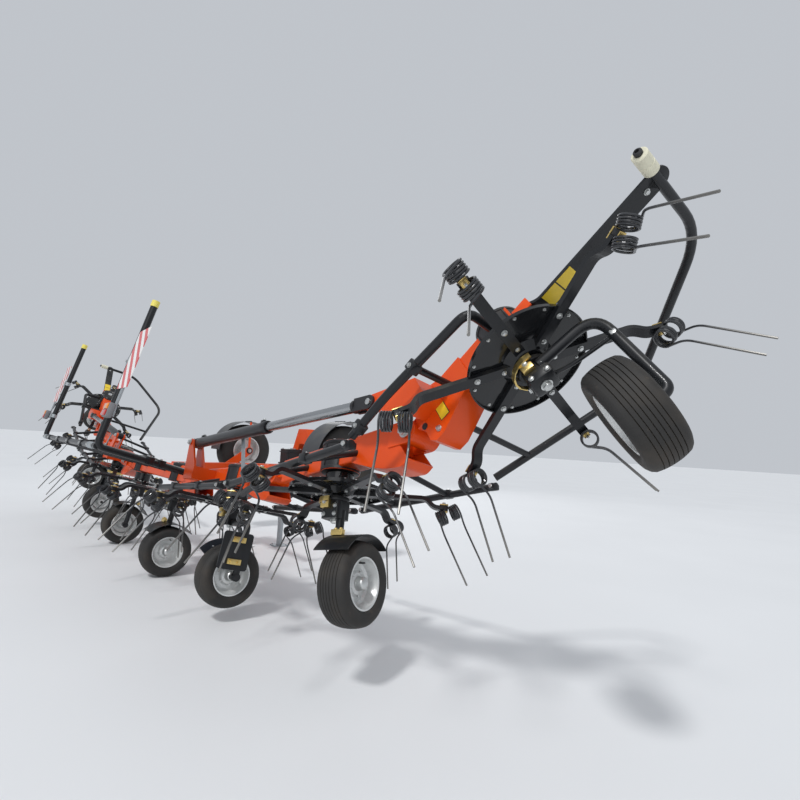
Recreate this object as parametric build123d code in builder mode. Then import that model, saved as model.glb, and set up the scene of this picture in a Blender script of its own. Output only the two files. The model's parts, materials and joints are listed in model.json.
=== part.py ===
# Hay tedder: eight tined rotors on a centre frame, with wings of three hinged sections a side.
# Millimetres and degrees. +X is the machine's right, +Y forward, +Z up, the floor is z = 0.
# Each section is drawn level, in the frame's own coordinates, then carried to where it stands:
# every section is raised about its hinge, and the whole frame leans forward on its wheels.
import os
from math import cos, hypot, radians, sin

from build123d import *

os.makedirs("parts", exist_ok=True)

# Layout
rotor_pitch = 1200.0
frame_lean = 13.0
wheels_behind_middle = 534.0
inner_raise = 6.0
outer_raise = 8.0
tip_raise = 33.0
running_gap = 0.5
side_gap = 8.0

# Rotor wheels, 16 x 6.50-8, turned out a little under the wings
tyre_radius = 200.0
tyre_width = 165.0
tyre_wall_low = 140.0
tyre_wall_high = 162.0
tyre_shoulder = 38.0
tyre_shoulder_drop = 8.0
tyre_corner = 18.0
rim_radius = 117.0
rim_half = 62.0
rim_wall = 4.0
rim_dish = 22.0
rim_step = 8.0
rim_web = 12.0
rim_hub_radius = 45.0
hub_end_radius = 33.0
hub_out = 56.0
hub_in = 50.0
axle_radius = 15.0
wheel_out = 156.0
wheel_swing = 17.0
leg_tube_radius = 22.0
leg_gap = 14.0
leg_bend = 42.0
leg_head_z = 555.0
leg_head_size = 110.0
leg_head_height = 90.0
leg_head_corner = 20.0
axle_clear = 6.0
brace_width = 36.0
brace_thickness = 8.0
cover_gap = 22.0
cover_thickness = 4.0
cover_low = 50.0
cover_high = 145.0
plate_low = 240.0
plate_high = 470.0
plate_back = 150.0
plate_front = 50.0

# Rotors
arm_count = 6
odd_phase = 43.0
disc_radius = 259.0
disc_thickness = 6.0
disc_z = 664.0
disc_lip = 14.0
disc_lip_wall = 5.0
disc_boss_out = 35.0
disc_boss_up = 12.0
hub_radius = 75.0
hub_top_gap = 6.0
spindle_radius = 30.0
arm_root = 50.0
arm_width = 45.0
arm_thickness = 22.0
arm_bend_start = 465.0
arm_bend_end = 520.0
arm_bend_inset = 8.0
arm_end = 592.0
arm_drop = 78.0
coil_circle = 577.0
coil_radius = 36.0
coil_bore = 15.0
coil_length = 48.0
coil_sides = 8
clamp_width = 54.0
clamp_height = 44.0
tine_size = 9.5
tine_root_out = 22.0
tine_root_drop = 20.0
tine_kink_radius = 645.0
tine_kink_z = 470.0
tip_circle = 722.0
tip_z = 185.0

# Frame beams
beam_z = 835.0
beam_size = 140.0
beam_corner = 14.0
beam_setback = 105.0
hinge_pin_radius = 22.0
hinge_pin_proud = 8.0
hinge_barrel_radius = 56.0
hinge_barrel_length = 130.0
hinge_cheek = 18.0
hinge_bridge = 16.0
gearbox_radius = 105.0
gearbox_height = 160.0

# Fold cylinders, behind the beams
cylinder_y = -200.0
lever_out = -30.0
lever_up = 175.0
lever_thickness = 20.0
lever_head = 40.0
lever_foot_in = 105.0
lever_foot_out = 235.0
cylinder_foot_x = 1290.0
foot_up = 235.0
foot_head = 30.0
foot_in = 1335.0
foot_out = 1500.0
carry_height = 90.0
barrel_radius = 38.0
barrel_length = 1160.0
foot_clear = 80.0
foot_lug_width = 54.0
rod_radius = 19.0
rod_engaged = 420.0
rod_stroke_in = 220.0
cylinder_pin_radius = 14.0
pin_proud = 6.0
eye_radius = 34.0
eye_drift = 60.0
eye_boss = 3.0
fork_thickness = 14.0
clevis_bridge = 18.0

# Guards
guard_tube_radius = 20.0
guard_strut_radius = 16.0
guard_bend = 80.0
guard_end_gap = 50.0
rail_z = 700.0
rail_rear_y = -355.0
rail_front_y = 610.0
rail_front_z = 740.0
strut_in = 380.0
tip_arm_reach = 805.0
tip_arm_width = 90.0
tip_arm_thickness = 12.0
tip_arm_z = 787.0
tip_arm_y = -20.0
tip_tube_in = 20.0
tip_front_corner_x = 160.0
tip_front_y = 850.0
tip_outer_y = 360.0
tip_rail_y = -300.0
tip_rail_z = 750.0
tip_strut_x = 160.0
tip_rail_in = 80.0
tip_rail_out = 220.0
roller_radius = 30.0
roller_length = 100.0
upright_x = 1410.0
upright_height = 1030.0
upright_lean = 2.0
upright_radius = 24.0
rear_rail_y = -870.0
rear_rail_z = 880.0
rear_strut_x = 300.0
cap_radius = 27.0
cap_length = 45.0
board_x = 1615.0
board_up = 600.0
board_width = 280.0
board_height = 420.0
board_thickness = 4.0
hanger_width = 60.0
hanger_thickness = 8.0
hanger_height = 800.0
lamp_up = 230.0
lamp_width = 120.0
lamp_height = 90.0
lamp_depth = 50.0
lamp_corner = 10.0

# Drawbar, headstock and stand
drawbar_width = 140.0
drawbar_height = 150.0
headstock_y = 1620.0
headstock_depth = 80.0
headstock_half_top = 90.0
headstock_shoulder = 50.0
headstock_leg_width = 150.0
headstock_crown = 40.0
headstock_crown_height = 130.0
link_span = 825.0
link_pin_radius = 14.0
link_pin_length = 90.0
link_pin_z = 560.0
top_pin_radius = 12.5
top_pin_z = 1260.0
top_pin_out = 45.0
top_cheek_gap = 52.0
top_cheek = 16.0
top_cheek_length = 120.0
top_cheek_height = 80.0
box_width = 180.0
box_length = 200.0
box_height = 170.0
box_corner = 25.0
shaft_up = 90.0
shaft_nose_radius = 60.0
shaft_nose_length = 50.0
shaft_radius = 17.5
shaft_length = 120.0
stand_y = 1430.0
stand_pivot_z = 650.0
stand_radius = 30.0
stand_head = 36.0
stand_pin = 14.0
stand_ear = 12.0
stand_ear_width = 90.0
foot_size = 160.0
foot_corner = 20.0
foot_thickness = 10.0

# Transport axle, carried raised
carrier_tyre_radius = 330.0
carrier_tyre_width = 220.0
carrier_tyre_corner = 22.0
carrier_tyre_shoulder = 48.0
carrier_tyre_wall = 45.0
carrier_rim_radius = 165.0
carrier_rim_inset = 20.0
carrier_rim_wall = 5.0
carrier_rim_step = 14.0
carrier_rim_dish = 20.0
carrier_web = 12.0
carrier_hub_radius = 60.0
carrier_hub_end = 50.0
carrier_hub_half = 50.0
carrier_axle_radius = 20.0
carrier_pivot_y = 900.0
carrier_pivot_z = 620.0
carrier_arm = 650.0
carrier_arm_width = 90.0
carrier_arm_thickness = 30.0
carrier_raise = 36.0
carrier_drop = 26.0
carrier_track = 1150.0
carrier_side_clear = 60.0
carrier_tube = 45.0
carrier_ear_x = 250.0
carrier_ear_radius = 55.0
carrier_ear = 20.0
mudguard_gap = 35.0
mudguard_overhang = 30.0
mudguard_thickness = 4.0
mudguard_low = 70.0
mudguard_high = 180.0
mudguard_stay = 14.0

# Rotor table: number, axis in pitches, hinges between it and the centre, hand, wheel swing, leg
rotors = [
    (1, 3.5, 3, 1, wheel_swing, "outer"),
    (2, 2.5, 2, 1, wheel_swing, "inner"),
    (3, 1.5, 1, 1, 0.0, "plated"),
    (4, 0.5, 0, 1, 0.0, "inner"),
    (5, -0.5, 0, -1, 0.0, "inner"),
    (6, -1.5, 1, -1, 0.0, "plated"),
    (7, -2.5, 2, -1, wheel_swing, "inner"),
    (8, -3.5, 3, -1, wheel_swing, "outer"),
]
hands = [(1, "right"), (-1, "left")]
raises = [inner_raise, outer_raise, tip_raise]
hinges = [rotor_pitch, 2 * rotor_pitch, 3 * rotor_pitch]

# Where the sections stand: everything is drawn with the wheels' axles over y = 0, then set back so
# that the origin is under the middle; the lean turns the frame about the wheels' axle line
centred = Pos(0, -wheels_behind_middle, 0)
lean = Pos(0, 0, tyre_radius) * Rot(-frame_lean, 0, 0) * Pos(0, 0, -tyre_radius)


def section_pose(level, hand):
    """Where a section stands, raised about each hinge between it and the centre."""
    pose = lean
    for hinge_x, raised in zip(hinges[:level], raises[:level]):
        hinge = Pos(hand * hinge_x, 0, beam_z)
        pose = pose * hinge * Rot(0, -hand * raised, 0) * hinge.inverse()
    return pose


def write(part, name, pose=Location()):
    placed = centred * pose * part
    placed.label = name
    export_step(placed, f"parts/{name}.step")


def tube(points, radius, bend):
    """A round tube along straight runs with bent corners."""
    with BuildPart() as bent_tube:
        with BuildLine() as route:
            FilletPolyline(*points, radius=bend)
        with BuildSketch(Plane(route.wire() @ 0, z_dir=route.wire() % 0)):
            Circle(radius)
        sweep()
    return bent_tube.part


def bar(start, end, radius):
    """A straight round bar between two points."""
    run = Vector(*end) - Vector(*start)
    with BuildPart() as straight_bar:
        with BuildSketch(Plane(start, z_dir=run.normalized())):
            Circle(radius)
        extrude(amount=run.length)
    return straight_bar.part


# Rotor: hub, disc, six arms with double coil tines
arm_z = disc_z - disc_thickness / 2 - arm_thickness / 2
coil_z = arm_z - arm_drop
hub_top_z = beam_z - gearbox_height / 2 - hub_top_gap
hub_bottom_z = arm_z - arm_thickness / 2 - disc_thickness
tine_offset = clamp_width / 2 + coil_length - tine_size / 2

with BuildPart() as rotor_arm:
    with BuildSketch(Plane.XZ):
        with BuildLine():
            half = arm_thickness / 2
            Polyline(
                (arm_root, arm_z + half),
                (arm_bend_start, arm_z + half),
                (arm_bend_end, coil_z + half),
                (arm_end, coil_z + half),
                (arm_end, coil_z - half),
                (arm_bend_end - arm_bend_inset, coil_z - half),
                (arm_bend_start - arm_bend_inset, arm_z - half),
                (arm_root, arm_z - half),
                close=True,
            )
        make_face()
    extrude(amount=arm_width / 2, both=True)
    with Locations((coil_circle, 0, coil_z)):
        Box(clamp_height, clamp_width, clamp_height)
    for side in (-1, 1):
        with BuildSketch(Plane((coil_circle, side * clamp_width / 2, coil_z), x_dir=(1, 0, 0),
                               z_dir=(0, side, 0))):
            RegularPolygon(coil_radius, coil_sides)
            RegularPolygon(coil_bore, coil_sides, mode=Mode.SUBTRACT)
        extrude(amount=coil_length)
        with BuildLine() as leg:
            Polyline(
                (coil_circle + tine_root_out, side * tine_offset, coil_z - tine_root_drop),
                (tine_kink_radius, side * tine_offset, tine_kink_z),
                (tip_circle, side * tine_offset, tip_z),
            )
        with BuildSketch(Plane(leg.wire() @ 0, z_dir=leg.wire() % 0)):
            Rectangle(tine_size, tine_size)
        sweep(transition=Transition.RIGHT)

with BuildPart() as rotor_body:
    with BuildSketch(Plane.XZ):
        with BuildLine():
            disc_top = disc_z + disc_thickness / 2
            disc_under = disc_z - disc_thickness / 2
            Polyline(
                (spindle_radius + running_gap, hub_top_z),
                (hub_radius, hub_top_z),
                (hub_radius, disc_top + disc_boss_up),
                (hub_radius + disc_boss_out, disc_top),
                (disc_radius, disc_top),
                (disc_radius, disc_under - disc_lip),
                (disc_radius - disc_lip_wall, disc_under - disc_lip),
                (disc_radius - disc_lip_wall, disc_under),
                (hub_radius, disc_under),
                (hub_radius, hub_bottom_z),
                (spindle_radius + running_gap, hub_bottom_z),
                close=True,
            )
        make_face()
    revolve(axis=Axis.Z)
    with PolarLocations(0, arm_count):
        add(rotor_arm.part)

# Neighbouring rotors turn opposite ways, each one's arms passing between the other's
for number, place, level, hand, swing, leg_kind in rotors:
    phase = odd_phase if number % 2 else 180 / arm_count - odd_phase
    seat = section_pose(level, hand) * Pos(place * rotor_pitch, 0, 0) * Rot(0, 0, phase)
    write(rotor_body.part, f"rotor_{number}", seat)

# Wheels: a tyre and a dished rim around the X axis, hub face outward
with BuildPart() as tyre:
    with BuildSketch(Plane.XY):
        with BuildLine():
            edge = tyre_width / 2
            Polyline(
                (-rim_half, rim_radius), (-edge, tyre_wall_low), (-edge, tyre_wall_high),
                (-edge + tyre_corner, tyre_radius - tyre_shoulder_drop),
                (-edge + tyre_shoulder, tyre_radius), (edge - tyre_shoulder, tyre_radius),
                (edge - tyre_corner, tyre_radius - tyre_shoulder_drop),
                (edge, tyre_wall_high), (edge, tyre_wall_low), (rim_half, rim_radius),
                close=True,
            )
        make_face()
    revolve(axis=Axis.X)

with BuildPart() as rim:
    with BuildSketch(Plane.XY):
        with BuildLine():
            bore = axle_radius + running_gap
            shelf = rim_radius - rim_wall
            Polyline(
                (-rim_half, rim_radius), (rim_half, rim_radius), (rim_half, shelf),
                (rim_web, shelf - rim_step), (rim_dish + rim_web, rim_hub_radius),
                (hub_out, hub_end_radius), (hub_out, bore), (-hub_in, bore), (-hub_in, hub_end_radius),
                (rim_dish, rim_hub_radius), (0, shelf - rim_step), (-rim_half, shelf),
                close=True,
            )
        make_face()
    revolve(axis=Axis.X)


def wheel_turn(hand, swing):
    """The turn about the rotor's axis that points the wheel's axle outward, with its swing."""
    return Rot(0, 0, swing if hand > 0 else 180 - swing)


for number, place, level, hand, swing, leg_kind in rotors:
    seat = (section_pose(level, hand) * Pos(place * rotor_pitch, 0, 0) * wheel_turn(hand, swing)
            * Pos(wheel_out, 0, tyre_radius))
    write(tyre.part, f"tyre_{number}", seat)
    write(rim.part, f"rim_{number}", seat)

# Wheel legs: spindle through the hub, head block, tube and axle, drawn with the axle along +X
spindle_top_z = beam_z - gearbox_height / 2
with BuildPart() as leg_head:
    with BuildSketch(Plane.XY.offset(leg_head_z)):
        Circle(spindle_radius)
    extrude(amount=spindle_top_z - leg_head_z)
    with BuildSketch(Plane.XY.offset(leg_head_z - leg_head_height / 2)):
        RectangleRounded(leg_head_size, leg_head_size, leg_head_corner)
    extrude(amount=leg_head_height)
    add(bar((wheel_out + hub_out + axle_clear, 0, tyre_radius),
            (wheel_out - hub_in - axle_clear, 0, tyre_radius), axle_radius))

# The outer leg runs down beyond the tyre, with a flat brace back to the head
outer_leg_x = wheel_out + tyre_width / 2 + leg_gap + leg_tube_radius
leg_top_z = leg_head_z - leg_head_height / 2 + leg_tube_radius
with BuildPart() as outer_leg:
    add(leg_head.part)
    add(tube([(0, 0, leg_top_z), (outer_leg_x, 0, leg_top_z), (outer_leg_x, 0, tyre_radius),
              (wheel_out + hub_out + axle_clear, 0, tyre_radius)], leg_tube_radius, leg_bend))
    brace_foot_z = tyre_radius + (leg_top_z - tyre_radius) * 0.55
    with BuildSketch(Plane.XZ.offset(-leg_tube_radius)):
        with BuildLine():
            Line((leg_head_size / 2, leg_head_z), (outer_leg_x, brace_foot_z))
        trace(line_width=brace_width)
        make_hull()
    extrude(amount=brace_thickness)

# The inner leg drops beside the head, with an arched cover over its wheel
inner_leg_x = wheel_out - tyre_width / 2 - leg_gap - leg_tube_radius
cover_radius = tyre_radius + cover_gap
with BuildPart() as inner_leg:
    add(leg_head.part)
    add(tube([(inner_leg_x, 0, leg_head_z), (inner_leg_x, 0, tyre_radius),
              (wheel_out - hub_in - axle_clear, 0, tyre_radius)], leg_tube_radius, leg_bend))
    with BuildSketch(Plane.YZ.offset(inner_leg_x)):
        with Locations((0, tyre_radius)):
            Circle(cover_radius + cover_thickness)
            Circle(cover_radius, mode=Mode.SUBTRACT)
        with BuildLine():
            reach = 2 * cover_radius
            Polyline(
                (0, tyre_radius),
                (reach * cos(radians(cover_low)), tyre_radius + reach * sin(radians(cover_low))),
                (reach * cos(radians(90)), tyre_radius + 2 * reach),
                (reach * cos(radians(cover_high)), tyre_radius + reach * sin(radians(cover_high))),
                close=True,
            )
        make_face(mode=Mode.INTERSECT)
    extrude(amount=wheel_out + tyre_width / 2 - inner_leg_x)


def section_legs(level, side):
    """All wheel legs that one section carries, in the frame's own coordinates."""
    kinds = {"outer": outer_leg, "inner": inner_leg, "plated": plated_leg}
    found = []
    for number, place, leg_level, hand, swing, leg_kind in rotors:
        if leg_level == level and side in (0, hand):
            spot = Pos(place * rotor_pitch, 0, 0) * wheel_turn(hand, swing)
            found.append(spot * kinds[leg_kind].part)
    return found


# The plated leg is an outer leg with a bracket plate on its outside
with BuildPart() as plated_leg:
    add(outer_leg.part)
    with BuildSketch(Plane.YZ.offset(outer_leg_x + leg_tube_radius - brace_thickness / 2)):
        with Locations(((plate_front - plate_back) / 2, (plate_low + plate_high) / 2)):
            RectangleRounded(plate_front + plate_back, plate_high - plate_low, leg_head_corner)
    extrude(amount=brace_thickness)

with BuildPart() as centre_legs:
    for leg_part in section_legs(0, 0):
        add(leg_part)
write(centre_legs.part, "centre_wheel_legs", lean)


# Beams: a box tube with a gearbox at each rotor, hinge barrels inboard and hinge forks outboard
def beam(start_x, end_x, gearbox_places, barrels, forks):
    """A level beam between two hinges; barrels and forks list the hinge positions it carries."""
    with BuildPart() as box_beam:
        with BuildSketch(Plane.YZ.offset(start_x)):
            with Locations((0, beam_z)):
                RectangleRounded(beam_size, beam_size, beam_corner)
        extrude(amount=end_x - start_x)
        for place in gearbox_places:
            with BuildSketch(Plane.XY.offset(beam_z - gearbox_height / 2)):
                with Locations((place, 0)):
                    Circle(gearbox_radius)
            extrude(amount=gearbox_height)
        for hinge_x in barrels:
            toward = 1 if (start_x + end_x) / 2 > hinge_x else -1
            with BuildSketch(Plane.XZ):
                with Locations((hinge_x, beam_z)):
                    Circle(hinge_barrel_radius)
                with Locations((hinge_x + toward * (beam_setback + hinge_bridge) / 2, beam_z)):
                    Rectangle(beam_setback + hinge_bridge, hinge_barrel_radius)
            extrude(amount=hinge_barrel_length / 2, both=True)
            with BuildSketch(Plane.XZ):
                with Locations((hinge_x, beam_z)):
                    Circle(hinge_pin_radius + running_gap)
            extrude(amount=hinge_barrel_length, both=True, mode=Mode.SUBTRACT)
        for hinge_x in forks:
            toward = 1 if (start_x + end_x) / 2 > hinge_x else -1
            for side in (-1, 1):
                inner = side * (hinge_barrel_length / 2 + running_gap)
                with BuildSketch(Plane((0, inner, 0), x_dir=(1, 0, 0), z_dir=(0, side, 0))):
                    with Locations((hinge_x, -side * beam_z)):
                        Circle(hinge_barrel_radius)
                    with Locations((hinge_x + toward * (beam_setback + hinge_bridge) / 2, -side * beam_z)):
                        Rectangle(beam_setback + hinge_bridge, hinge_barrel_radius * 2)
                extrude(amount=hinge_cheek)
            with BuildSketch(Plane.YZ.offset(hinge_x + toward * beam_setback)):
                with Locations((0, beam_z)):
                    Rectangle(hinge_barrel_length + 2 * (hinge_cheek + running_gap), hinge_barrel_radius * 2)
            extrude(amount=toward * hinge_bridge)
            with BuildSketch(Plane.XZ):
                with Locations((hinge_x, beam_z)):
                    Circle(hinge_pin_radius)
            extrude(amount=hinge_barrel_length / 2 + hinge_cheek + hinge_pin_proud, both=True)
    return box_beam


def hand_beam(hand, inner_hinge, outer_x, gearbox_place, forks):
    """A wing or tip section's beam, out from the hinge that carries it."""
    inner = hand * (inner_hinge + beam_setback)
    outer = hand * outer_x
    return beam(min(inner, outer), max(inner, outer), [hand * gearbox_place * rotor_pitch],
                [hand * inner_hinge], [hand * fork_x for fork_x in forks]).part


# The fold cylinder's pins: the foot on the inner wing, the lever on the tip
wing_hinge_x, outer_hinge_x, tip_hinge_x = hinges
foot_pin = (cylinder_foot_x, beam_z + foot_up)
lever_pin = (tip_hinge_x + lever_out, beam_z + lever_up)
foot_half = foot_lug_width / 2 + running_gap
tip_end = 3.5 * rotor_pitch + gearbox_radius - hinge_bridge
carry_base = beam_size / 2 - beam_corner

with BuildPart() as centre_beam:
    reach = wing_hinge_x - beam_setback
    add(beam(-reach, reach, [-rotor_pitch / 2, rotor_pitch / 2], [], [-wing_hinge_x, wing_hinge_x]).part)
write(centre_beam.part, "centre_beam", lean)

for hand, side in hands:
    with BuildPart() as inner_wing_beam:
        add(hand_beam(hand, wing_hinge_x, outer_hinge_x - beam_setback, 1.5, [outer_hinge_x]))
        # Cylinder foot: a stub behind the beam, two cheeks and a pin
        foot_reach = cylinder_y - foot_half - fork_thickness
        with BuildSketch(Plane.XZ.offset(carry_base)):
            with Locations((hand * (foot_in + foot_out) / 2, beam_z)):
                Rectangle(foot_out - foot_in, carry_height)
        extrude(amount=-foot_reach - carry_base)
        for cheek in (-1, 1):
            cheek_face = Plane((0, cylinder_y + cheek * foot_half, 0), x_dir=(1, 0, 0), z_dir=(0, cheek, 0))
            with BuildSketch(cheek_face):
                with Locations((hand * foot_pin[0], -cheek * foot_pin[1])):
                    Circle(foot_head)
                with Locations((hand * (foot_in + foot_out) / 2, -cheek * beam_z)):
                    Rectangle(foot_out - foot_in, carry_height)
                make_hull()
            extrude(amount=fork_thickness)
        with BuildSketch(Plane.XZ.offset(-cylinder_y)):
            with Locations((hand * foot_pin[0], foot_pin[1])):
                Circle(cylinder_pin_radius)
        extrude(amount=foot_half + fork_thickness + pin_proud, both=True)
    write(inner_wing_beam.part, f"inner_wing_beam_{side}", section_pose(1, hand))

    with BuildPart() as outer_wing_beam:
        add(hand_beam(hand, outer_hinge_x, tip_hinge_x - beam_setback, 2.5, [tip_hinge_x]))
    write(outer_wing_beam.part, f"outer_wing_beam_{side}", section_pose(2, hand))

    with BuildPart() as tip_beam:
        add(hand_beam(hand, tip_hinge_x, tip_end, 3.5, []))
        # Fold lever: a stub behind the beam and a plate up to the pin's boss
        lever_reach = lever_thickness / 2 - cylinder_y
        with BuildSketch(Plane.XZ.offset(carry_base)):
            with Locations((hand * (tip_hinge_x + (lever_foot_in + lever_foot_out) / 2), beam_z)):
                Rectangle(lever_foot_out - lever_foot_in, carry_height)
        extrude(amount=lever_reach - carry_base)
        with BuildSketch(Plane.XZ.offset(-cylinder_y)):
            with Locations((hand * lever_pin[0], lever_pin[1])):
                Circle(lever_head)
            with Locations((hand * (tip_hinge_x + (lever_foot_in + lever_foot_out) / 2), beam_z)):
                Rectangle(lever_foot_out - lever_foot_in, carry_height)
            make_hull()
        extrude(amount=lever_thickness / 2, both=True)
        with BuildSketch(Plane.XZ.offset(-cylinder_y)):
            with Locations((hand * lever_pin[0], lever_pin[1])):
                Circle(eye_radius)
        extrude(amount=lever_thickness / 2 + eye_boss, both=True)
    write(tip_beam.part, f"tip_beam_{side}", section_pose(3, hand))

# Fold cylinders, drawn as they stand, between the foot pin and the raised lever's pin
clevis_depth = lever_head + eye_drift + clevis_bridge
for hand, side in hands:
    to_inner_wing = section_pose(1, hand).inverse() * section_pose(3, hand)
    eye = (to_inner_wing * Pos(hand * lever_pin[0], cylinder_y, lever_pin[1])).position
    start = Vector(hand * foot_pin[0], cylinder_y, foot_pin[1])
    along = (eye - start).normalized()
    length = (eye - start).length
    foot_plane = Plane(origin=start, x_dir=along, z_dir=(0, -1, 0))
    eye_plane = Plane(origin=eye, x_dir=along, z_dir=(0, -1, 0))
    bore_depth = rod_engaged + rod_stroke_in
    with BuildPart() as barrel:
        with BuildSketch(Plane(start + along * foot_clear, z_dir=along)):
            Circle(barrel_radius)
        extrude(amount=barrel_length - foot_clear)
        with BuildSketch(foot_plane):
            Circle(eye_radius)
            with Locations((foot_clear / 2, 0)):
                Rectangle(foot_clear, 2 * eye_radius)
        extrude(amount=foot_lug_width / 2, both=True)
        with BuildSketch(foot_plane):
            Circle(cylinder_pin_radius + running_gap)
        extrude(amount=barrel_radius, both=True, mode=Mode.SUBTRACT)
        with BuildSketch(Plane(start + along * (barrel_length - bore_depth), z_dir=along)):
            Circle(rod_radius + running_gap)
        extrude(amount=bore_depth, mode=Mode.SUBTRACT)
    write(barrel.part, f"fold_cylinder_{side}", section_pose(1, hand))

    fork_reach = lever_thickness / 2 + side_gap
    with BuildPart() as rod:
        with BuildSketch(Plane(start + along * (barrel_length - rod_engaged), z_dir=along)):
            Circle(rod_radius)
        extrude(amount=length - barrel_length + rod_engaged - clevis_depth)
        for cheek in (-1, 1):
            with BuildSketch(eye_plane.offset(cheek * fork_reach)):
                Circle(eye_radius)
                with Locations((-clevis_depth / 2, 0)):
                    Rectangle(clevis_depth, 2 * eye_radius)
            extrude(amount=cheek * fork_thickness)
            with BuildSketch(eye_plane.offset(cheek * (fork_reach + fork_thickness))):
                Circle(cylinder_pin_radius)
            extrude(amount=cheek * pin_proud)
        with BuildSketch(eye_plane):
            with Locations((clevis_bridge / 2 - clevis_depth, 0)):
                Rectangle(clevis_bridge, 2 * eye_radius)
        extrude(amount=fork_reach + fork_thickness, both=True)
    write(rod.part, f"fold_rod_{side}", section_pose(1, hand))

# Wing steelwork: the wheel leg, and the rails behind and in front with struts to the beam
with BuildPart() as beam_blank:
    with Locations((0, 0, beam_z)):
        Box(2 * tip_end, beam_size, beam_size)

for hand, side in hands:
    for level, name in ((1, "inner"), (2, "outer")):
        near, far = hinges[level - 1], hinges[level]
        with BuildPart() as wing_steel:
            for strut_x in (near + strut_in, far - strut_in):
                add(bar((hand * strut_x, rail_rear_y, rail_z), (hand * strut_x, 0, beam_z),
                        guard_strut_radius))
                add(bar((hand * strut_x, rail_front_y, rail_front_z), (hand * strut_x, 0, beam_z),
                        guard_strut_radius))
            add(beam_blank.part, mode=Mode.SUBTRACT)
            for rail_y, height in ((rail_rear_y, rail_z), (rail_front_y, rail_front_z)):
                add(bar((hand * (near + guard_end_gap), rail_y, height),
                        (hand * (far - guard_end_gap), rail_y, height), guard_tube_radius))
            for leg_part in section_legs(level, hand):
                add(leg_part)
        write(wing_steel.part, f"{name}_wing_leg_and_rails_{side}", section_pose(level, hand))

    with BuildPart() as tip_leg:
        for leg_part in section_legs(3, hand):
            add(leg_part)
    write(tip_leg.part, f"tip_wheel_leg_{side}", section_pose(3, hand))

# Tip guard: a flat arm out from the gearbox, a loop in front and a rail behind
tip_axis_x = 3.5 * rotor_pitch
for hand, side in hands:
    with BuildPart() as tip_guard:
        with BuildSketch(Plane.XY.offset(tip_arm_z - tip_arm_thickness / 2)):
            with Locations((hand * (tip_axis_x + tip_arm_reach / 2), tip_arm_y)):
                Rectangle(tip_arm_reach, tip_arm_width)
        extrude(amount=tip_arm_thickness)
        rail_end_x = tip_hinge_x + tip_rail_in
        add(tube([
            (hand * rail_end_x, tip_rail_y, tip_rail_z),
            (hand * tip_axis_x, tip_rail_y, tip_rail_z),
            (hand * (tip_axis_x + tip_rail_out), tip_arm_y, tip_arm_z),
        ], guard_tube_radius, guard_bend))
        loop_end_x = tip_axis_x + tip_arm_reach - tip_tube_in
        add(tube([
            (hand * loop_end_x, tip_arm_y, tip_arm_z),
            (hand * loop_end_x, tip_outer_y, tip_arm_z),
            (hand * (tip_axis_x + tip_front_corner_x), tip_front_y, tip_arm_z),
            (hand * rail_end_x, rail_front_y, tip_arm_z),
        ], guard_tube_radius, guard_bend))
        strut_x = tip_hinge_x + tip_strut_x
        slope = (tip_front_y - rail_front_y) / (tip_axis_x + tip_front_corner_x - rail_end_x)
        strut_end_y = rail_front_y + (strut_x - rail_end_x) * slope
        add(bar((hand * strut_x, strut_end_y, tip_arm_z), (hand * strut_x, 0, beam_z), guard_strut_radius))
        strut_x = tip_hinge_x + strut_in
        add(bar((hand * strut_x, tip_rail_y, tip_rail_z), (hand * strut_x, 0, beam_z), guard_strut_radius))
        add(beam_blank.part, mode=Mode.SUBTRACT)
        with Locations((hand * tip_axis_x, 0, beam_z)):
            Cylinder(gearbox_radius, gearbox_height, mode=Mode.SUBTRACT)
    write(tip_guard.part, f"tip_guard_{side}", section_pose(3, hand))

    with BuildPart() as roller:
        with BuildSketch(Plane.XZ.offset(tip_arm_width / 2 - tip_arm_y)):
            with Locations((hand * loop_end_x, tip_arm_z)):
                Circle(roller_radius)
        extrude(amount=roller_length)
    write(roller.part, f"tip_roller_{side}", section_pose(3, hand))

# Rear guard with two leaning uprights that carry caps, boards and lamps
upright_foot = Vector(0, rear_rail_y, rear_rail_z)
upright_back = (0, -cos(radians(upright_lean)), sin(radians(upright_lean)))
rear_face = Plane(upright_foot, x_dir=(1, 0, 0), z_dir=upright_back)
hanger_face = upright_radius - hanger_thickness / 2
with BuildPart() as rear_guard:
    for hand, side in hands:
        for strut_x in (rear_strut_x, wing_hinge_x - rear_strut_x):
            add(bar((hand * strut_x, rear_rail_y, rear_rail_z), (hand * strut_x, 0, beam_z),
                    guard_strut_radius))
    add(beam_blank.part, mode=Mode.SUBTRACT)
    add(bar((-upright_x, rear_rail_y, rear_rail_z), (upright_x, rear_rail_y, rear_rail_z), guard_tube_radius))
    for hand, side in hands:
        foot = rear_face.from_local_coords((hand * upright_x, 0, 0))
        with BuildSketch(Plane(foot, z_dir=rear_face.y_dir)):
            Circle(upright_radius)
        extrude(amount=upright_height)
        with BuildSketch(rear_face.offset(hanger_face)):
            with Locations((hand * board_x, (lamp_up + board_up) / 2)):
                Rectangle(hanger_width, board_up - lamp_up + board_height / 2)
            for up in (lamp_up, board_up):
                with Locations((hand * (upright_x + board_x) / 2, up)):
                    Rectangle(board_x - upright_x, hanger_width)
        extrude(amount=hanger_thickness)
write(rear_guard.part, "rear_guard", lean)

with BuildPart() as guard_caps:
    for hand, side in hands:
        top = rear_face.from_local_coords((hand * upright_x, upright_height, 0))
        with BuildSketch(Plane(top, z_dir=rear_face.y_dir)):
            Circle(cap_radius)
        extrude(amount=cap_length)
write(guard_caps.part, "guard_caps", lean)

with BuildPart() as marker_boards:
    for hand, side in hands:
        with BuildSketch(rear_face.offset(hanger_face + hanger_thickness)):
            with Locations((hand * board_x, board_up)):
                Rectangle(board_width, board_height)
        extrude(amount=board_thickness)
write(marker_boards.part, "marker_boards", lean)

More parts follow.
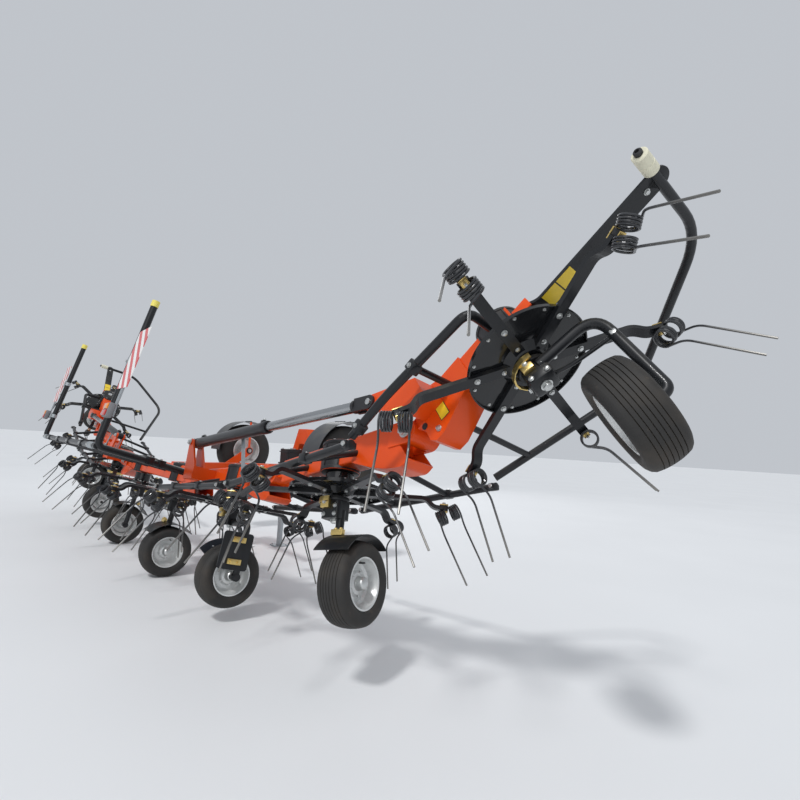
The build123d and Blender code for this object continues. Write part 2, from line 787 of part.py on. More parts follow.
with BuildPart() as lamps:
    for hand, side in hands:
        with BuildSketch(rear_face.offset(hanger_face + hanger_thickness)):
            with Locations((hand * board_x, lamp_up)):
                RectangleRounded(lamp_width, lamp_height, lamp_corner)
        extrude(amount=lamp_depth)
write(lamps.part, "tail_lamps", lean)

# Drawbar and headstock, drawn upright
beam_centre = (lean * Pos(0, 0, beam_z)).position
with BuildPart() as drawbar:
    with BuildSketch(Plane.YZ):
        with Locations(((beam_centre.Y + headstock_y) / 2, beam_centre.Z)):
            Rectangle(headstock_y - beam_centre.Y, drawbar_height)
    extrude(amount=drawbar_width / 2, both=True)
    beam_face = Plane(lean * Location((0, beam_size / 2, beam_z), (90, 0, 0)))
    split(bisect_by=beam_face, keep=Keep.BOTTOM)
    # Headstock: two side plates that meet at the top link, and a cross block on the drawbar
    with BuildSketch(Plane.XZ.offset(-headstock_y)):
        with BuildLine():
            Polyline(
                (-link_span / 2, link_pin_z - headstock_shoulder),
                (-link_span / 2, link_pin_z + headstock_shoulder),
                (-headstock_half_top, top_pin_z + headstock_crown),
                (headstock_half_top, top_pin_z + headstock_crown),
                (link_span / 2, link_pin_z + headstock_shoulder),
                (link_span / 2, link_pin_z - headstock_shoulder),
                close=True,
            )
        make_face()
        with BuildLine():
            Polyline(
                (-link_span / 2 + headstock_leg_width, link_pin_z + headstock_shoulder),
                (-headstock_half_top + headstock_crown, top_pin_z - headstock_crown_height),
                (headstock_half_top - headstock_crown, top_pin_z - headstock_crown_height),
                (link_span / 2 - headstock_leg_width, link_pin_z + headstock_shoulder),
                close=True,
            )
        make_face(mode=Mode.SUBTRACT)
    extrude(amount=-headstock_depth)
    with BuildSketch(Plane.YZ):
        with Locations((headstock_y + headstock_depth / 2, beam_centre.Z)):
            Rectangle(headstock_depth, drawbar_height)
    extrude(amount=link_span / 2 - headstock_leg_width - headstock_crown / 2, both=True)
    for hand, side in hands:
        with BuildSketch(Plane.YZ.offset(hand * (link_span / 2 - headstock_shoulder))):
            with Locations((headstock_y + headstock_depth / 2, link_pin_z)):
                Circle(link_pin_radius)
        extrude(amount=hand * (link_pin_length + headstock_shoulder))
        with BuildSketch(Plane.YZ.offset(hand * top_cheek_gap / 2)):
            with Locations((headstock_y + headstock_depth + top_pin_out - top_cheek_length / 4, top_pin_z)):
                Rectangle(top_cheek_length, top_cheek_height)
            with Locations((headstock_y + headstock_depth + top_pin_out, top_pin_z)):
                Circle(top_pin_radius, mode=Mode.SUBTRACT)
        extrude(amount=hand * top_cheek)
    # Ears for the parking stand and the transport axle's pivot
    stand_side = stand_radius + side_gap
    for end in (-1, 1):
        with BuildSketch(Plane.XZ.offset(-stand_y - end * stand_side)):
            with Locations((0, (stand_pivot_z - stand_head + beam_centre.Z) / 2)):
                Rectangle(stand_ear_width, beam_centre.Z - stand_pivot_z + stand_head)
        extrude(amount=-end * stand_ear)
    with BuildSketch(Plane.XZ.offset(-stand_y)):
        with Locations((0, stand_pivot_z)):
            Circle(stand_pin)
    extrude(amount=stand_side + stand_ear + pin_proud, both=True)
    for hand, side in hands:
        with BuildSketch(Plane.YZ.offset(hand * carrier_ear_x)):
            with Locations((carrier_pivot_y, carrier_pivot_z)):
                Circle(carrier_ear_radius + carrier_ear)
            with Locations((carrier_pivot_y, (carrier_pivot_z + beam_centre.Z) / 2)):
                Rectangle(2 * carrier_ear_radius, beam_centre.Z - carrier_pivot_z)
            with Locations((carrier_pivot_y, carrier_pivot_z)):
                Circle(carrier_tube + running_gap, mode=Mode.SUBTRACT)
        extrude(amount=hand * carrier_ear)
    with BuildSketch(Plane.XZ.offset(-carrier_pivot_y + carrier_ear_radius)):
        with Locations((0, beam_centre.Z)):
            Rectangle(2 * (carrier_ear_x + carrier_ear), drawbar_height / 2)
    extrude(amount=-2 * carrier_ear_radius)
write(drawbar.part, "drawbar")

with BuildPart() as main_gearbox:
    box_base = beam_centre.Z + drawbar_height / 2
    box_y = headstock_y - box_length / 2 - carrier_ear
    with BuildSketch(Plane.XY.offset(box_base)):
        with Locations((0, box_y)):
            RectangleRounded(box_width, box_length, box_corner)
    extrude(amount=box_height)
    with BuildSketch(Plane.XZ.offset(-box_y)):
        with Locations((0, box_base + shaft_up)):
            Circle(shaft_nose_radius)
    extrude(amount=box_y - headstock_y - shaft_nose_length)
    with BuildSketch(Plane.XZ.offset(-headstock_y)):
        with Locations((0, box_base + shaft_up)):
            Circle(shaft_radius)
    extrude(amount=-shaft_nose_length - shaft_length)
write(main_gearbox.part, "main_gearbox")

# Parking stand
with BuildPart() as stand:
    with BuildSketch(Plane.XY):
        with Locations((0, stand_y)):
            RectangleRounded(foot_size, foot_size, foot_corner)
    extrude(amount=foot_thickness)
    with BuildSketch(Plane.XY):
        with Locations((0, stand_y)):
            Circle(stand_radius)
    extrude(amount=stand_pivot_z + stand_head)
    with BuildSketch(Plane.XZ.offset(-stand_y)):
        with Locations((0, stand_pivot_z)):
            Circle(stand_pin + running_gap)
    extrude(amount=stand_radius, both=True, mode=Mode.SUBTRACT)
write(stand.part, "parking_stand")

# Transport axle: cross tube, two arms, stub axles and mudguards, raised
wheel_y = carrier_pivot_y + carrier_arm * cos(radians(carrier_raise))
wheel_z = carrier_pivot_z + carrier_arm * sin(radians(carrier_raise))
arm_x = carrier_track - carrier_tyre_width / 2 - carrier_side_clear
guard_r = carrier_tyre_radius + mudguard_gap
with BuildPart() as transport_axle:
    with BuildSketch(Plane.YZ.offset(-arm_x)):
        with Locations((carrier_pivot_y, carrier_pivot_z)):
            Circle(carrier_tube)
    extrude(amount=2 * arm_x)
    for hand, side in hands:
        with BuildSketch(Plane.YZ.offset(hand * (arm_x - carrier_arm_thickness / 2))):
            with BuildLine():
                Line((carrier_pivot_y, carrier_pivot_z), (wheel_y, wheel_z))
            trace(line_width=carrier_arm_width)
            with Locations((carrier_pivot_y, carrier_pivot_z), (wheel_y, wheel_z)):
                Circle(carrier_arm_width / 2)
        extrude(amount=hand * carrier_arm_thickness)
        with BuildSketch(Plane.YZ.offset(hand * arm_x)):
            with Locations((wheel_y, wheel_z)):
                Circle(carrier_axle_radius)
        extrude(amount=hand * (carrier_track + carrier_hub_half + axle_clear - arm_x))
        mudguard_x = carrier_track - carrier_tyre_width / 2 - mudguard_overhang
        with BuildSketch(Plane.YZ.offset(hand * mudguard_x)):
            with BuildLine():
                sweep_angle = mudguard_high - mudguard_low
                under = CenterArc((wheel_y, wheel_z), guard_r, mudguard_low, sweep_angle)
                over = CenterArc((wheel_y, wheel_z), guard_r + mudguard_thickness, mudguard_low,
                                 sweep_angle)
                Line(under @ 0, over @ 0)
                Line(under @ 1, over @ 1)
            make_face()
        extrude(amount=hand * (carrier_tyre_width + 2 * mudguard_overhang))
        stay_top = (hand * arm_x, wheel_y, wheel_z + guard_r + mudguard_thickness)
        add(bar((hand * arm_x, wheel_y, wheel_z), stay_top, mudguard_stay))
        stay_over = (hand * carrier_track, wheel_y, wheel_z + guard_r + mudguard_thickness)
        add(bar(stay_top, stay_over, mudguard_thickness * 2))
write(transport_axle.part, "transport_axle")

with BuildPart() as carrier_tyre:
    with BuildSketch(Plane.XY):
        with BuildLine():
            half = carrier_tyre_width / 2
            Polyline(
                (carrier_rim_inset - half, carrier_rim_radius),
                (-half, carrier_rim_radius + carrier_tyre_wall),
                (-half, carrier_tyre_radius - carrier_tyre_wall),
                (-half + carrier_tyre_corner, carrier_tyre_radius - tyre_shoulder_drop),
                (-half + carrier_tyre_shoulder, carrier_tyre_radius),
                (half - carrier_tyre_shoulder, carrier_tyre_radius),
                (half - carrier_tyre_corner, carrier_tyre_radius - tyre_shoulder_drop),
                (half, carrier_tyre_radius - carrier_tyre_wall),
                (half, carrier_rim_radius + carrier_tyre_wall),
                (half - carrier_rim_inset, carrier_rim_radius),
                close=True,
            )
        make_face()
    revolve(axis=Axis.X)

with BuildPart() as carrier_rim:
    with BuildSketch(Plane.XY):
        with BuildLine():
            edge = carrier_tyre_width / 2 - carrier_rim_inset
            bore = carrier_axle_radius + running_gap
            shelf = carrier_rim_radius - carrier_rim_wall
            step = carrier_rim_radius - carrier_rim_step
            Polyline(
                (-edge, carrier_rim_radius), (edge, carrier_rim_radius), (edge, shelf),
                (carrier_web, step), (carrier_rim_dish + carrier_web, carrier_hub_radius),
                (carrier_hub_half, carrier_hub_end), (carrier_hub_half, bore),
                (-carrier_hub_half, bore), (-carrier_hub_half, carrier_hub_end),
                (carrier_rim_dish, carrier_hub_radius), (0, step), (-edge, shelf),
                close=True,
            )
        make_face()
    revolve(axis=Axis.X)

for hand, side in hands:
    seat = Pos(hand * carrier_track, wheel_y, wheel_z) * Rot(0, 0, 0 if hand > 0 else 180)
    write(carrier_tyre.part, f"transport_tyre_{side}", seat)
    write(carrier_rim.part, f"transport_rim_{side}", seat)
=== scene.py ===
"""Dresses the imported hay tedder: paint, rubber and zinc finishes, wound tines, ribbed tyres and fittings."""
import json
import math

import bmesh
import bpy
from bpy.props import FloatProperty, FloatVectorProperty, IntProperty, PointerProperty
from mathutils import Matrix, Vector


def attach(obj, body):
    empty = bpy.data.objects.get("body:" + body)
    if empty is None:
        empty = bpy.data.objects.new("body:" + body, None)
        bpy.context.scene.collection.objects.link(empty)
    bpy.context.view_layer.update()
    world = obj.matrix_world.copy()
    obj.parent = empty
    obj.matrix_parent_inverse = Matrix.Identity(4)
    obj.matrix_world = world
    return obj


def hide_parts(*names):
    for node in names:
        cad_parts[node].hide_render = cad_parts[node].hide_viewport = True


bl_info = {
    "name": "Hay Tedder Dressing",
    "version": (1, 0, 0),
    "blender": (4, 5, 0),
    "location": "View3D > Sidebar > Tedder",
    "description": "Finishes and small parts of an eight-rotor hay tedder, around its fixed frame",
    "category": "Object",
}

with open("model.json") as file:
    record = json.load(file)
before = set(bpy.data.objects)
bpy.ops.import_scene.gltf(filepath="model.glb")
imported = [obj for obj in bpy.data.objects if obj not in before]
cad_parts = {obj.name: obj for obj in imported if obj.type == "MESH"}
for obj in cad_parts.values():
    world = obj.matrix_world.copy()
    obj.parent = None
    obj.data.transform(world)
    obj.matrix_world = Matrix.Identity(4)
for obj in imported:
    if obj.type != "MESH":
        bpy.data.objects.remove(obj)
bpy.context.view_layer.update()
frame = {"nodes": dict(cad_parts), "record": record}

# The machine's layout, in metres and degrees, as the frame stands
PITCH = 1.2
LEAN = 13.0
SET_BACK = 0.534
RAISES = (6.0, 8.0, 33.0)
BEAM_Z = 0.835
BEAM_HALF = 0.07
TYRE_R = 0.2
DISC_Z = 0.664
DISC_HALF = 0.003
ARM_Z = 0.650
ARMS = 6
# Where the first arm points, on even and on odd rotors
PHASES = (-13.0, 43.0)
# Tine coils: their centre, and the tilt of their axis out of the level, in the plane of the arm
COIL_Z = 0.571
COIL_AT = 0.583
COIL_TILT = 28.0
COIL_STEPS = 24
# The crop rubs the tines below a height, more and more over a fade, and only this far out
RUB_TOP, RUB_FADE, RUB_OUT = 0.42, 0.14, 0.62
WHEEL_OUT = 0.156
SWING = 17.0
RIGHT, LEFT = 1, -1
SIDE = {RIGHT: "right", LEFT: "left"}
# Where a leg's axle hub stands out from the rotor's axis, by kind of leg
HUB_OUT = {"inner": 0.0375, "plated": 0.2745}
# Fold cylinder pins, from the centre and above the ground of the section that holds them
FOLD_Y = -0.2
FOOT_X, FOOT_Z = 1.290, 1.070
EYE_X, EYE_Z = 3.570, 1.010
# The wings' rails, in y and z, and the tip guard's far end
RAILS = ((-0.355, 0.700), (0.610, 0.740))
GUARD_X, GUARD_Z = 4.985, 0.787
# The rear rail, its uprights and what they carry
REAR_Y, REAR_Z = -0.870, 0.880
UPRIGHT_X, UPRIGHT_LEAN = 1.410, -2.0
BOARD_X = 1.615
# The carriage's pivot and its raised wheels' axis, drawn upright
PIVOT_Y, PIVOT_Z = 0.900 - SET_BACK, 0.620
CARRIAGE_ARM, CARRIAGE_RAISE = 0.650, math.radians(36.0)
WHEEL_Y = PIVOT_Y + CARRIAGE_ARM * math.cos(CARRIAGE_RAISE)
WHEEL_Z = PIVOT_Z + CARRIAGE_ARM * math.sin(CARRIAGE_RAISE)
CARRIAGE_X = 1.150
# Between these distances from the wheels' axis the arms' paint gives way to the mudguards' plastic
MUDGUARD_FROM, MUDGUARD_TO = 0.35777, 0.36056
# The headstock's face, the drive shaft's height, the gearbox's top and the stand
FACE_Y = 1.700 - SET_BACK
SHAFT_Y, SHAFT_Z = 1.670 - SET_BACK, 0.9837
BOX_Y, BOX_TOP = 1.500 - SET_BACK, 1.0637
STAND_Y = 1.430 - SET_BACK
# number, axis in pitches, hinges from the centre, hand, swing, leg kind
ROTORS = (
    (1, 3.5, 3, RIGHT, SWING, "outer"),
    (2, 2.5, 2, RIGHT, SWING, "inner"),
    (3, 1.5, 1, RIGHT, 0.0, "plated"),
    (4, 0.5, 0, RIGHT, 0.0, "inner"),
    (5, -0.5, 0, LEFT, 0.0, "inner"),
    (6, -1.5, 1, LEFT, 0.0, "plated"),
    (7, -2.5, 2, LEFT, SWING, "inner"),
    (8, -3.5, 3, LEFT, SWING, "outer"),
)


def turn(degrees, axis):
    return Matrix.Rotation(math.radians(degrees), 4, axis)


def move(x, y, z):
    return Matrix.Translation((x, y, z))


LEANING = move(0, -SET_BACK, TYRE_R) @ turn(-LEAN, "X") @ move(0, 0, -TYRE_R)


def section(level, hand):
    """Where a section of the machine stands, raised about each hinge between it and the centre."""
    pose = LEANING.copy()
    for step in range(level):
        hinge = move(hand * PITCH * (step + 1), 0, BEAM_Z)
        pose = pose @ hinge @ turn(-hand * RAISES[step], "Y") @ hinge.inverted()
    return pose


def body_of(level, hand):
    if level == 0:
        return "chassis"
    return ("inner_wing_", "outer_wing_", "tip_")[level - 1] + SIDE[hand]


def rotor_seat(place, level, hand, degrees):
    """The ground under a rotor's axis, turned about that axis."""
    return section(level, hand) @ move(place * PITCH, 0, 0) @ turn(degrees, "Z")


def leg_seat(place, level, hand, swing):
    """The same place, with X along the axle of the rotor's wheel."""
    return rotor_seat(place, level, hand, swing if hand > 0 else 180 - swing)


def to_hand(hand, points):
    """Points drawn for the right side, mirrored on the left."""
    return [(hand * x, y, z) for x, y, z in points]


# Shader maths


class Sock:
    """A shader socket that Python's arithmetic works on, each operator adding its Math node."""

    def __init__(self, graph, socket):
        self.graph = graph
        self.socket = socket

    def _maths(self, operation, *terms):
        return self.graph.node("ShaderNodeMath", {"operation": operation}, dict(enumerate(terms)))

    def __add__(self, other):
        return self._maths("ADD", self, other)

    __radd__ = __add__

    def __sub__(self, other):
        return self._maths("SUBTRACT", self, other)

    def __mul__(self, other):
        return self._maths("MULTIPLY", self, other)

    __rmul__ = __mul__

    def __truediv__(self, other):
        return self._maths("DIVIDE", self, other)

    def __gt__(self, other):
        return self._maths("GREATER_THAN", self, other)

    def between(self, low, high):
        """0 at low and under, 1 at high and over, smooth in between."""
        settings = {"interpolation_type": "SMOOTHSTEP"}
        return self.graph.node("ShaderNodeMapRange", settings, {0: self, 1: low, 2: high})

    def fraction(self):
        return self._maths("FRACT", self)


class Finish:
    """One material's node graph around its Principled shader."""

    def __init__(self, name, colour, roughness, metallic=0.0, coat=0.0, shine=0.5):
        self.material = bpy.data.materials.new(name)
        self.material.use_nodes = True
        self.tree = self.material.node_tree
        self.shader = self.tree.nodes["Principled BSDF"]
        self.material.diffuse_color = (*colour, 1)
        self.set("Base Color", (*colour, 1))
        self.set("Roughness", roughness)
        self.set("Metallic", metallic)
        self.set("Coat Weight", coat)
        self.set("Specular IOR Level", shine)

    def node(self, kind, settings, inputs, output=0):
        made = self.tree.nodes.new(kind)
        for key, value in settings.items():
            setattr(made, key, value)
        for key, value in inputs.items():
            self._feed(made.inputs[key], value)
        return Sock(self, made.outputs[output])

    def _feed(self, socket, value):
        if isinstance(value, Sock):
            self.tree.links.new(value.socket, socket)
        else:
            socket.default_value = value

    def set(self, name, value):
        self._feed(self.shader.inputs[name], value)

    def places(self):
        return self.node("ShaderNodeTexCoord", {}, {}, "Object")

    def facing_up(self):
        """The surface normal's height, 1 on level tops."""
        normal = self.node("ShaderNodeNewGeometry", {}, {}, "Normal")
        return self.node("ShaderNodeSeparateXYZ", {}, {0: normal}, "Z")

    def along(self, axis):
        return self.node("ShaderNodeSeparateXYZ", {}, {0: self.places()}, axis)

    def noise(self, scale, detail=3.0, roughness=0.55, stretch=None):
        where = self.places()
        if stretch:
            where = self.node("ShaderNodeMapping", {}, {0: where, 3: stretch})
        inputs = {"Vector": where, "Scale": scale, "Detail": detail, "Roughness": roughness}
        return self.node("ShaderNodeTexNoise", {}, inputs, 0)

    def mix(self, share, first, second):
        return self.node("ShaderNodeMix", {"data_type": "RGBA"}, {0: share, 6: first, 7: second}, 2)

    def bump(self, height, strength, distance=0.001):
        inputs = {"Strength": strength, "Distance": distance, "Height": height}
        self.set("Normal", self.node("ShaderNodeBump", {}, inputs))


def rgba(colour, gain=1.0):
    return tuple(min(1.0, c * gain) for c in colour[:3]) + (1.0,)


def sprayed(made, patches, shade, roughness, dust, grain):
    """Sets a paint's shade with dust on its upper faces, its uneven gloss and its orange peel."""
    settled = made.facing_up().between(0.15, 0.95) * made.noise(9.0, 6.0, 0.7).between(0.42, 0.72) * dust
    made.set("Base Color", made.mix(settled, shade, rgba((0.30, 0.27, 0.20))))
    made.set("Roughness", patches * 0.14 + roughness + settled * 0.35)
    made.bump(made.noise(95.0, 2.0) * 0.6 + made.noise(14.0, 2.0) * 0.4, grain)
    return made.material


def painted(name, colour, roughness, coat, dust, shine=0.5, grain=0.12):
    """Sprayed paint, chipped here and there."""
    made = Finish(name, colour, roughness, 0.0, coat, shine)
    patches = made.noise(3.2, 4.0)
    shade = made.mix(patches, rgba(colour, 0.82), rgba(colour, 1.14))
    chips = made.noise(42.0, 5.0, 0.75).between(0.715, 0.735)
    chipped = made.mix(chips * 0.6, shade, rgba((0.16, 0.15, 0.14)))
    return sprayed(made, patches, chipped, roughness - 0.07, dust, grain)


def carriage_paint(colour, dust):
    """Orange on the carriage's arms, and black plastic beyond its tyres, on the mudguards."""
    made = Finish("Carriage paint", colour, 0.30, 0.0, 0.3)
    y, z = made.along("Y") - WHEEL_Y, made.along("Z") - WHEEL_Z
    guard = (y * y + z * z).between(MUDGUARD_FROM ** 2, MUDGUARD_TO ** 2)
    patches = made.noise(3.2, 4.0)
    orange = made.mix(patches, rgba(colour, 0.82), rgba(colour, 1.14))
    shade = made.mix(guard, orange, rgba((0.035, 0.038, 0.042)))
    return sprayed(made, patches, shade, guard * 0.24 + 0.24, dust, 0.12)


def bright_metal(name, colour, roughness, metallic=1.0, spangle=0.0, grain=0.05, spread=0.28):
    """Plated, galvanised or drawn metal with soft blotches and fine scratches."""
    made = Finish(name, colour, roughness, metallic)
    blotch = made.noise(18.0, 4.0)
    scratch = made.noise(220.0, 2.0, 0.5, (1.0, 0.12, 1.0))
    cells = made.node("ShaderNodeTexVoronoi", {}, {"Vector": made.places(), "Scale": 140.0}, "Distance")
    tone = blotch * (0.7 - spangle) + cells * spangle + scratch * 0.3
    made.set("Base Color", made.mix(tone, rgba(colour, 1.0 - spread), rgba(colour, 1.0 + spread * 0.65)))
    made.set("Roughness", tone * spread * 0.8 + roughness - 0.08)
    made.bump(scratch, grain)
    return made.material


def spring_steel(name, colour, worn):
    """Oil-dark spring wire that shines where the crop rubs it, towards the tines' ends."""
    made = Finish(name, colour, 0.30, 0.1, 0.3)
    rubbed = made.node("ShaderNodeAttribute", {"attribute_name": "rubbed"}, {}, "Fac")
    streaks = made.noise(60.0, 3.0)
    share = rubbed * (streaks * 0.5 + 0.6)
    made.set("Base Color", made.mix(share, rgba(colour), rgba(worn)))
    made.set("Metallic", share * 0.7 + 0.1)
    made.set("Roughness", share * 0.12 + streaks * 0.10 + 0.24)
    made.bump(streaks, 0.06)
    return made.material


def rubber(name, colour, mud):
    """Tyre rubber, dry and a little dusty, with soil held in its grooves."""
    made = Finish(name, colour, 0.82)
    grooved = made.node("ShaderNodeAttribute", {"attribute_name": "groove"}, {}, "Fac")
    cake = made.noise(16.0, 5.0, 0.65)
    film = made.noise(5.0, 4.0)
    dirt = grooved * 0.30 + film.between(0.42, 0.80) * 0.28 + cake.between(0.64, 0.78) * 0.25
    made.set("Base Color", made.mix(dirt, made.mix(cake, rgba(colour, 0.8), rgba(colour, 1.25)), rgba(mud)))
    made.set("Roughness", 0.70 + dirt * 0.25)
    made.bump(cake * 0.5 + made.noise(160.0, 3.0) * 0.5, 0.25)
    return made.material


def plastic(name, colour, roughness, coat=0.0):
    made = Finish(name, colour, roughness, 0.0, coat)
    film = made.noise(24.0, 4.0)
    made.set("Base Color", made.mix(film, rgba(colour, 0.85), rgba(colour, 1.08)))
    made.set("Roughness", film * 0.16 + roughness - 0.06)
    made.bump(made.noise(180.0, 2.0), 0.06)
    return made.material


def striped_sheet(name, red, white):
    """Reflective sheeting in red and white bands that slant at 45 degrees, 0.1 m to the pair."""
    made = Finish(name, white, 0.35, 0.0, 0.3)
    across = (made.along("Z") + made.along("X")) * math.sqrt(0.5)
    band = (across / 0.1).fraction() > 0.5
    weave = made.node("ShaderNodeTexVoronoi", {}, {"Vector": made.places(), "Scale": 260.0}, "Distance")
    made.set("Base Color", made.mix(band, rgba(white), rgba(red)))
    made.set("Roughness", weave * 0.2 + 0.28)
    made.bump(weave, 0.08)
    return made.material


# Mesh building


AXES = {"X": Vector((1, 0, 0)), "Y": Vector((0, 1, 0)), "Z": Vector((0, 0, 1))}
# Turns a body that stands along Z to another axis
STANDS = {"X": turn(90, "Y"), "Y": turn(-90, "X"), "Z": Matrix()}


def face_material(bm, before, index):
    """Gives every face made since then a material index."""
    for face in bm.faces:
        if face not in before:
            face.material_index = index


def put(bm, before, matrix, index):
    """Moves what was made since then to its place and gives it a material index."""
    fresh = list({vert for face in bm.faces if face not in before for vert in face.verts})
    bmesh.ops.transform(bm, matrix=matrix, verts=fresh)
    face_material(bm, before, index)


def add_box(bm, centre, size, bevel=0.002, index=0, pose=None):
    before = set(bm.faces)
    made = bmesh.ops.create_cube(bm, size=1.0)["verts"]
    bmesh.ops.scale(bm, vec=size, verts=made)
    if bevel:
        edges = {edge for vert in made for edge in vert.link_edges}
        bmesh.ops.bevel(bm, geom=list(edges), offset=bevel, segments=2, profile=0.5, affect="EDGES",
                        material=-1)
    put(bm, before, move(*centre) @ (pose or Matrix()), index)


def add_disc(bm, centre, radius, thickness, sides=24, bevel=0.0015, index=0, axis="Z"):
    """A short round or hexagonal body, its axis along X, Y or Z."""
    before = set(bm.faces)
    made = bmesh.ops.create_cone(bm, cap_ends=True, segments=sides, radius1=radius, radius2=radius,
                                 depth=thickness)["verts"]
    if bevel:
        rims = [e for e in {edge for v in made for edge in v.link_edges}
                if len(e.link_faces) == 2 and e.calc_face_angle() > 1.0]
        bmesh.ops.bevel(bm, geom=rims, offset=bevel, segments=2, profile=0.5, affect="EDGES", material=-1)
    put(bm, before, move(*centre) @ STANDS[axis], index)


def add_bolt(bm, centre, size, index=0, axis="Z", out=1):
    """A washer and a hexagon head that stands out along its axis."""
    step = AXES[axis] * out * size
    where = Vector(centre)
    add_disc(bm, where + step * 0.1, size * 1.15, size * 0.2, 14, 0, index, axis)
    add_disc(bm, where + step * 0.5, size * 0.9, size * 0.7, 6, size * 0.08, index, axis)


def add_lathe(bm, profile, axis, steps, index=0, closed=False):
    """Turns a profile of (along, radius) points about the X or Z axis."""
    before = set(bm.faces)
    points = [bm.verts.new((a, 0, r) if axis == "X" else (r, 0, a)) for a, r in profile]
    pairs = list(zip(points, points[1:])) + ([(points[-1], points[0])] if closed else [])
    edges = [bm.edges.new(pair) for pair in pairs]
    bmesh.ops.spin(bm, geom=points + edges, cent=(0, 0, 0), axis=AXES[axis], dvec=(0, 0, 0),
                   angle=math.tau, steps=steps, use_merge=True, use_duplicate=False)
    fresh = list({v for f in bm.faces if f not in before for v in f.verts})
    bmesh.ops.remove_doubles(bm, verts=fresh, dist=1e-6)
    face_material(bm, before, index)


def add_pipe(bm, points, radius, sides=8, index=0, flat=None):
    """A closed bar pulled along points; flat gives (width, thickness) for a flat bar."""
    before = set(bm.faces)
    path = [Vector(p) for p in points]
    tangent = (path[1] - path[0]).normalized()
    if flat:
        ring = bmesh.ops.create_grid(bm, x_segments=1, y_segments=1, size=0.5)["verts"]
        bmesh.ops.scale(bm, vec=(flat[0], flat[1], 1), verts=ring)
        across = Vector((0, 1, 0)) if abs(tangent.y) < 0.9 else Vector((1, 0, 0))
        up = tangent.cross(across).normalized()
        stand = Matrix((across, up, across.cross(up))).transposed().to_4x4()
    else:
        ring = bmesh.ops.create_circle(bm, cap_ends=True, segments=sides, radius=radius)["verts"]
        stand = tangent.to_track_quat("Z", "Y").to_matrix().to_4x4()
    bmesh.ops.transform(bm, matrix=Matrix.Translation(path[0]) @ stand, verts=ring)
    face = next(f for f in bm.faces if f not in before)
    for k in range(1, len(path)):
        ahead = (path[k] - path[k - 1]).normalized()
        nxt = (path[k + 1] - path[k]).normalized() if k + 1 < len(path) else ahead
        mitre = (ahead + nxt).normalized()
        made = bmesh.ops.extrude_face_region(bm, geom=[face], use_keep_orig=(k == 1))["geom"]
        verts = [g for g in made if isinstance(g, bmesh.types.BMVert)]
        face = next(g for g in made if isinstance(g, bmesh.types.BMFace))
        swing = tangent.rotation_difference(mitre).to_matrix().to_4x4()
        shift = Matrix.Translation(path[k]) @ swing @ Matrix.Translation(-path[k - 1])
        bmesh.ops.transform(bm, matrix=shift, verts=verts)
        tangent = mitre
    face_material(bm, before, index)


def add_plate(bm, outline, near, far, index=0, across="Y"):
    """A flat plate from an outline in x and z (or y and z), between two places across it."""
    before = set(bm.faces)
    if across == "Y":
        verts = [bm.verts.new((a, near, b)) for a, b in outline]
        shift = (0, far - near, 0)
    else:
        verts = [bm.verts.new((near, a, b)) for a, b in outline]
        shift = (far - near, 0, 0)
    face = bm.faces.new(verts)
    made = bmesh.ops.extrude_face_region(bm, geom=[face], use_keep_orig=True)["geom"]
    bmesh.ops.translate(bm, vec=shift, verts=[g for g in made if isinstance(g, bmesh.types.BMVert)])
    face_material(bm, before, index)


def arc(centre, radius, start, end, steps=10):
    """Points along an arc, angles in degrees."""
    angles = (math.radians(start + (end - start) * k / steps) for k in range(steps + 1))
    return [(centre[0] + radius * math.cos(a), centre[1] + radius * math.sin(a)) for a in angles]


def rounded(points, radius, steps=5):
    """Straight runs with their corners rounded."""
    path = [Vector(points[0])]
    for before, corner, after in zip(points, points[1:], points[2:]):
        corner = Vector(corner)
        back, ahead = Vector(before) - corner, Vector(after) - corner
        reach = min(radius, back.length * 0.45, ahead.length * 0.45)
        start, end = corner + back.normalized() * reach, corner + ahead.normalized() * reach
        for k in range(steps + 1):
            t = k / steps
            path.append(start * (1 - t) ** 2 + corner * 2 * t * (1 - t) + end * t * t)
    path.append(Vector(points[-1]))
    return path


def finish_mesh(name, bm, materials, smooth=35.0, pose=None):
    """Welds a bmesh, moves it to its place, turns its faces outward and smooths up to an angle."""
    bmesh.ops.remove_doubles(bm, verts=bm.verts[:], dist=1e-6)
    if pose is not None:
        bmesh.ops.transform(bm, matrix=pose, verts=bm.verts[:])
    bmesh.ops.recalc_face_normals(bm, faces=bm.faces[:])
    mesh = bpy.data.meshes.new(name)
    bm.to_mesh(mesh)
    bm.free()
    for material in materials:
        mesh.materials.append(MATERIALS[material])
    for polygon in mesh.polygons:
        polygon.use_smooth = True
    mesh.set_sharp_from_angle(angle=math.radians(smooth))
    return mesh


def add_object(name, mesh, body, replaces=()):
    """Puts a finished mesh in the scene, riding on its body."""
    made = bpy.data.objects.new(name, mesh)
    bpy.context.scene.collection.objects.link(made)
    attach(made, body)
    if replaces:
        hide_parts(*replaces)


def piece(name, bm, materials, body, pose=None, replaces=()):
    """A piece of its own, from a bmesh."""
    add_object(name, finish_mesh(name, bm, materials, pose=pose), body, replaces)


def copy_placed(source, name, pose, body, replaces):
    """A like piece from a finished mesh, its place put into the copy's vertices."""
    mesh = source.copy()
    mesh.transform(pose)
    add_object(name, mesh, body, replaces)


def crown(x, radius, drop, half, power):
    """A crowned tread's radius at x, which has fallen by drop at half the tread's width."""
    return radius - drop * (abs(x) / half) ** power


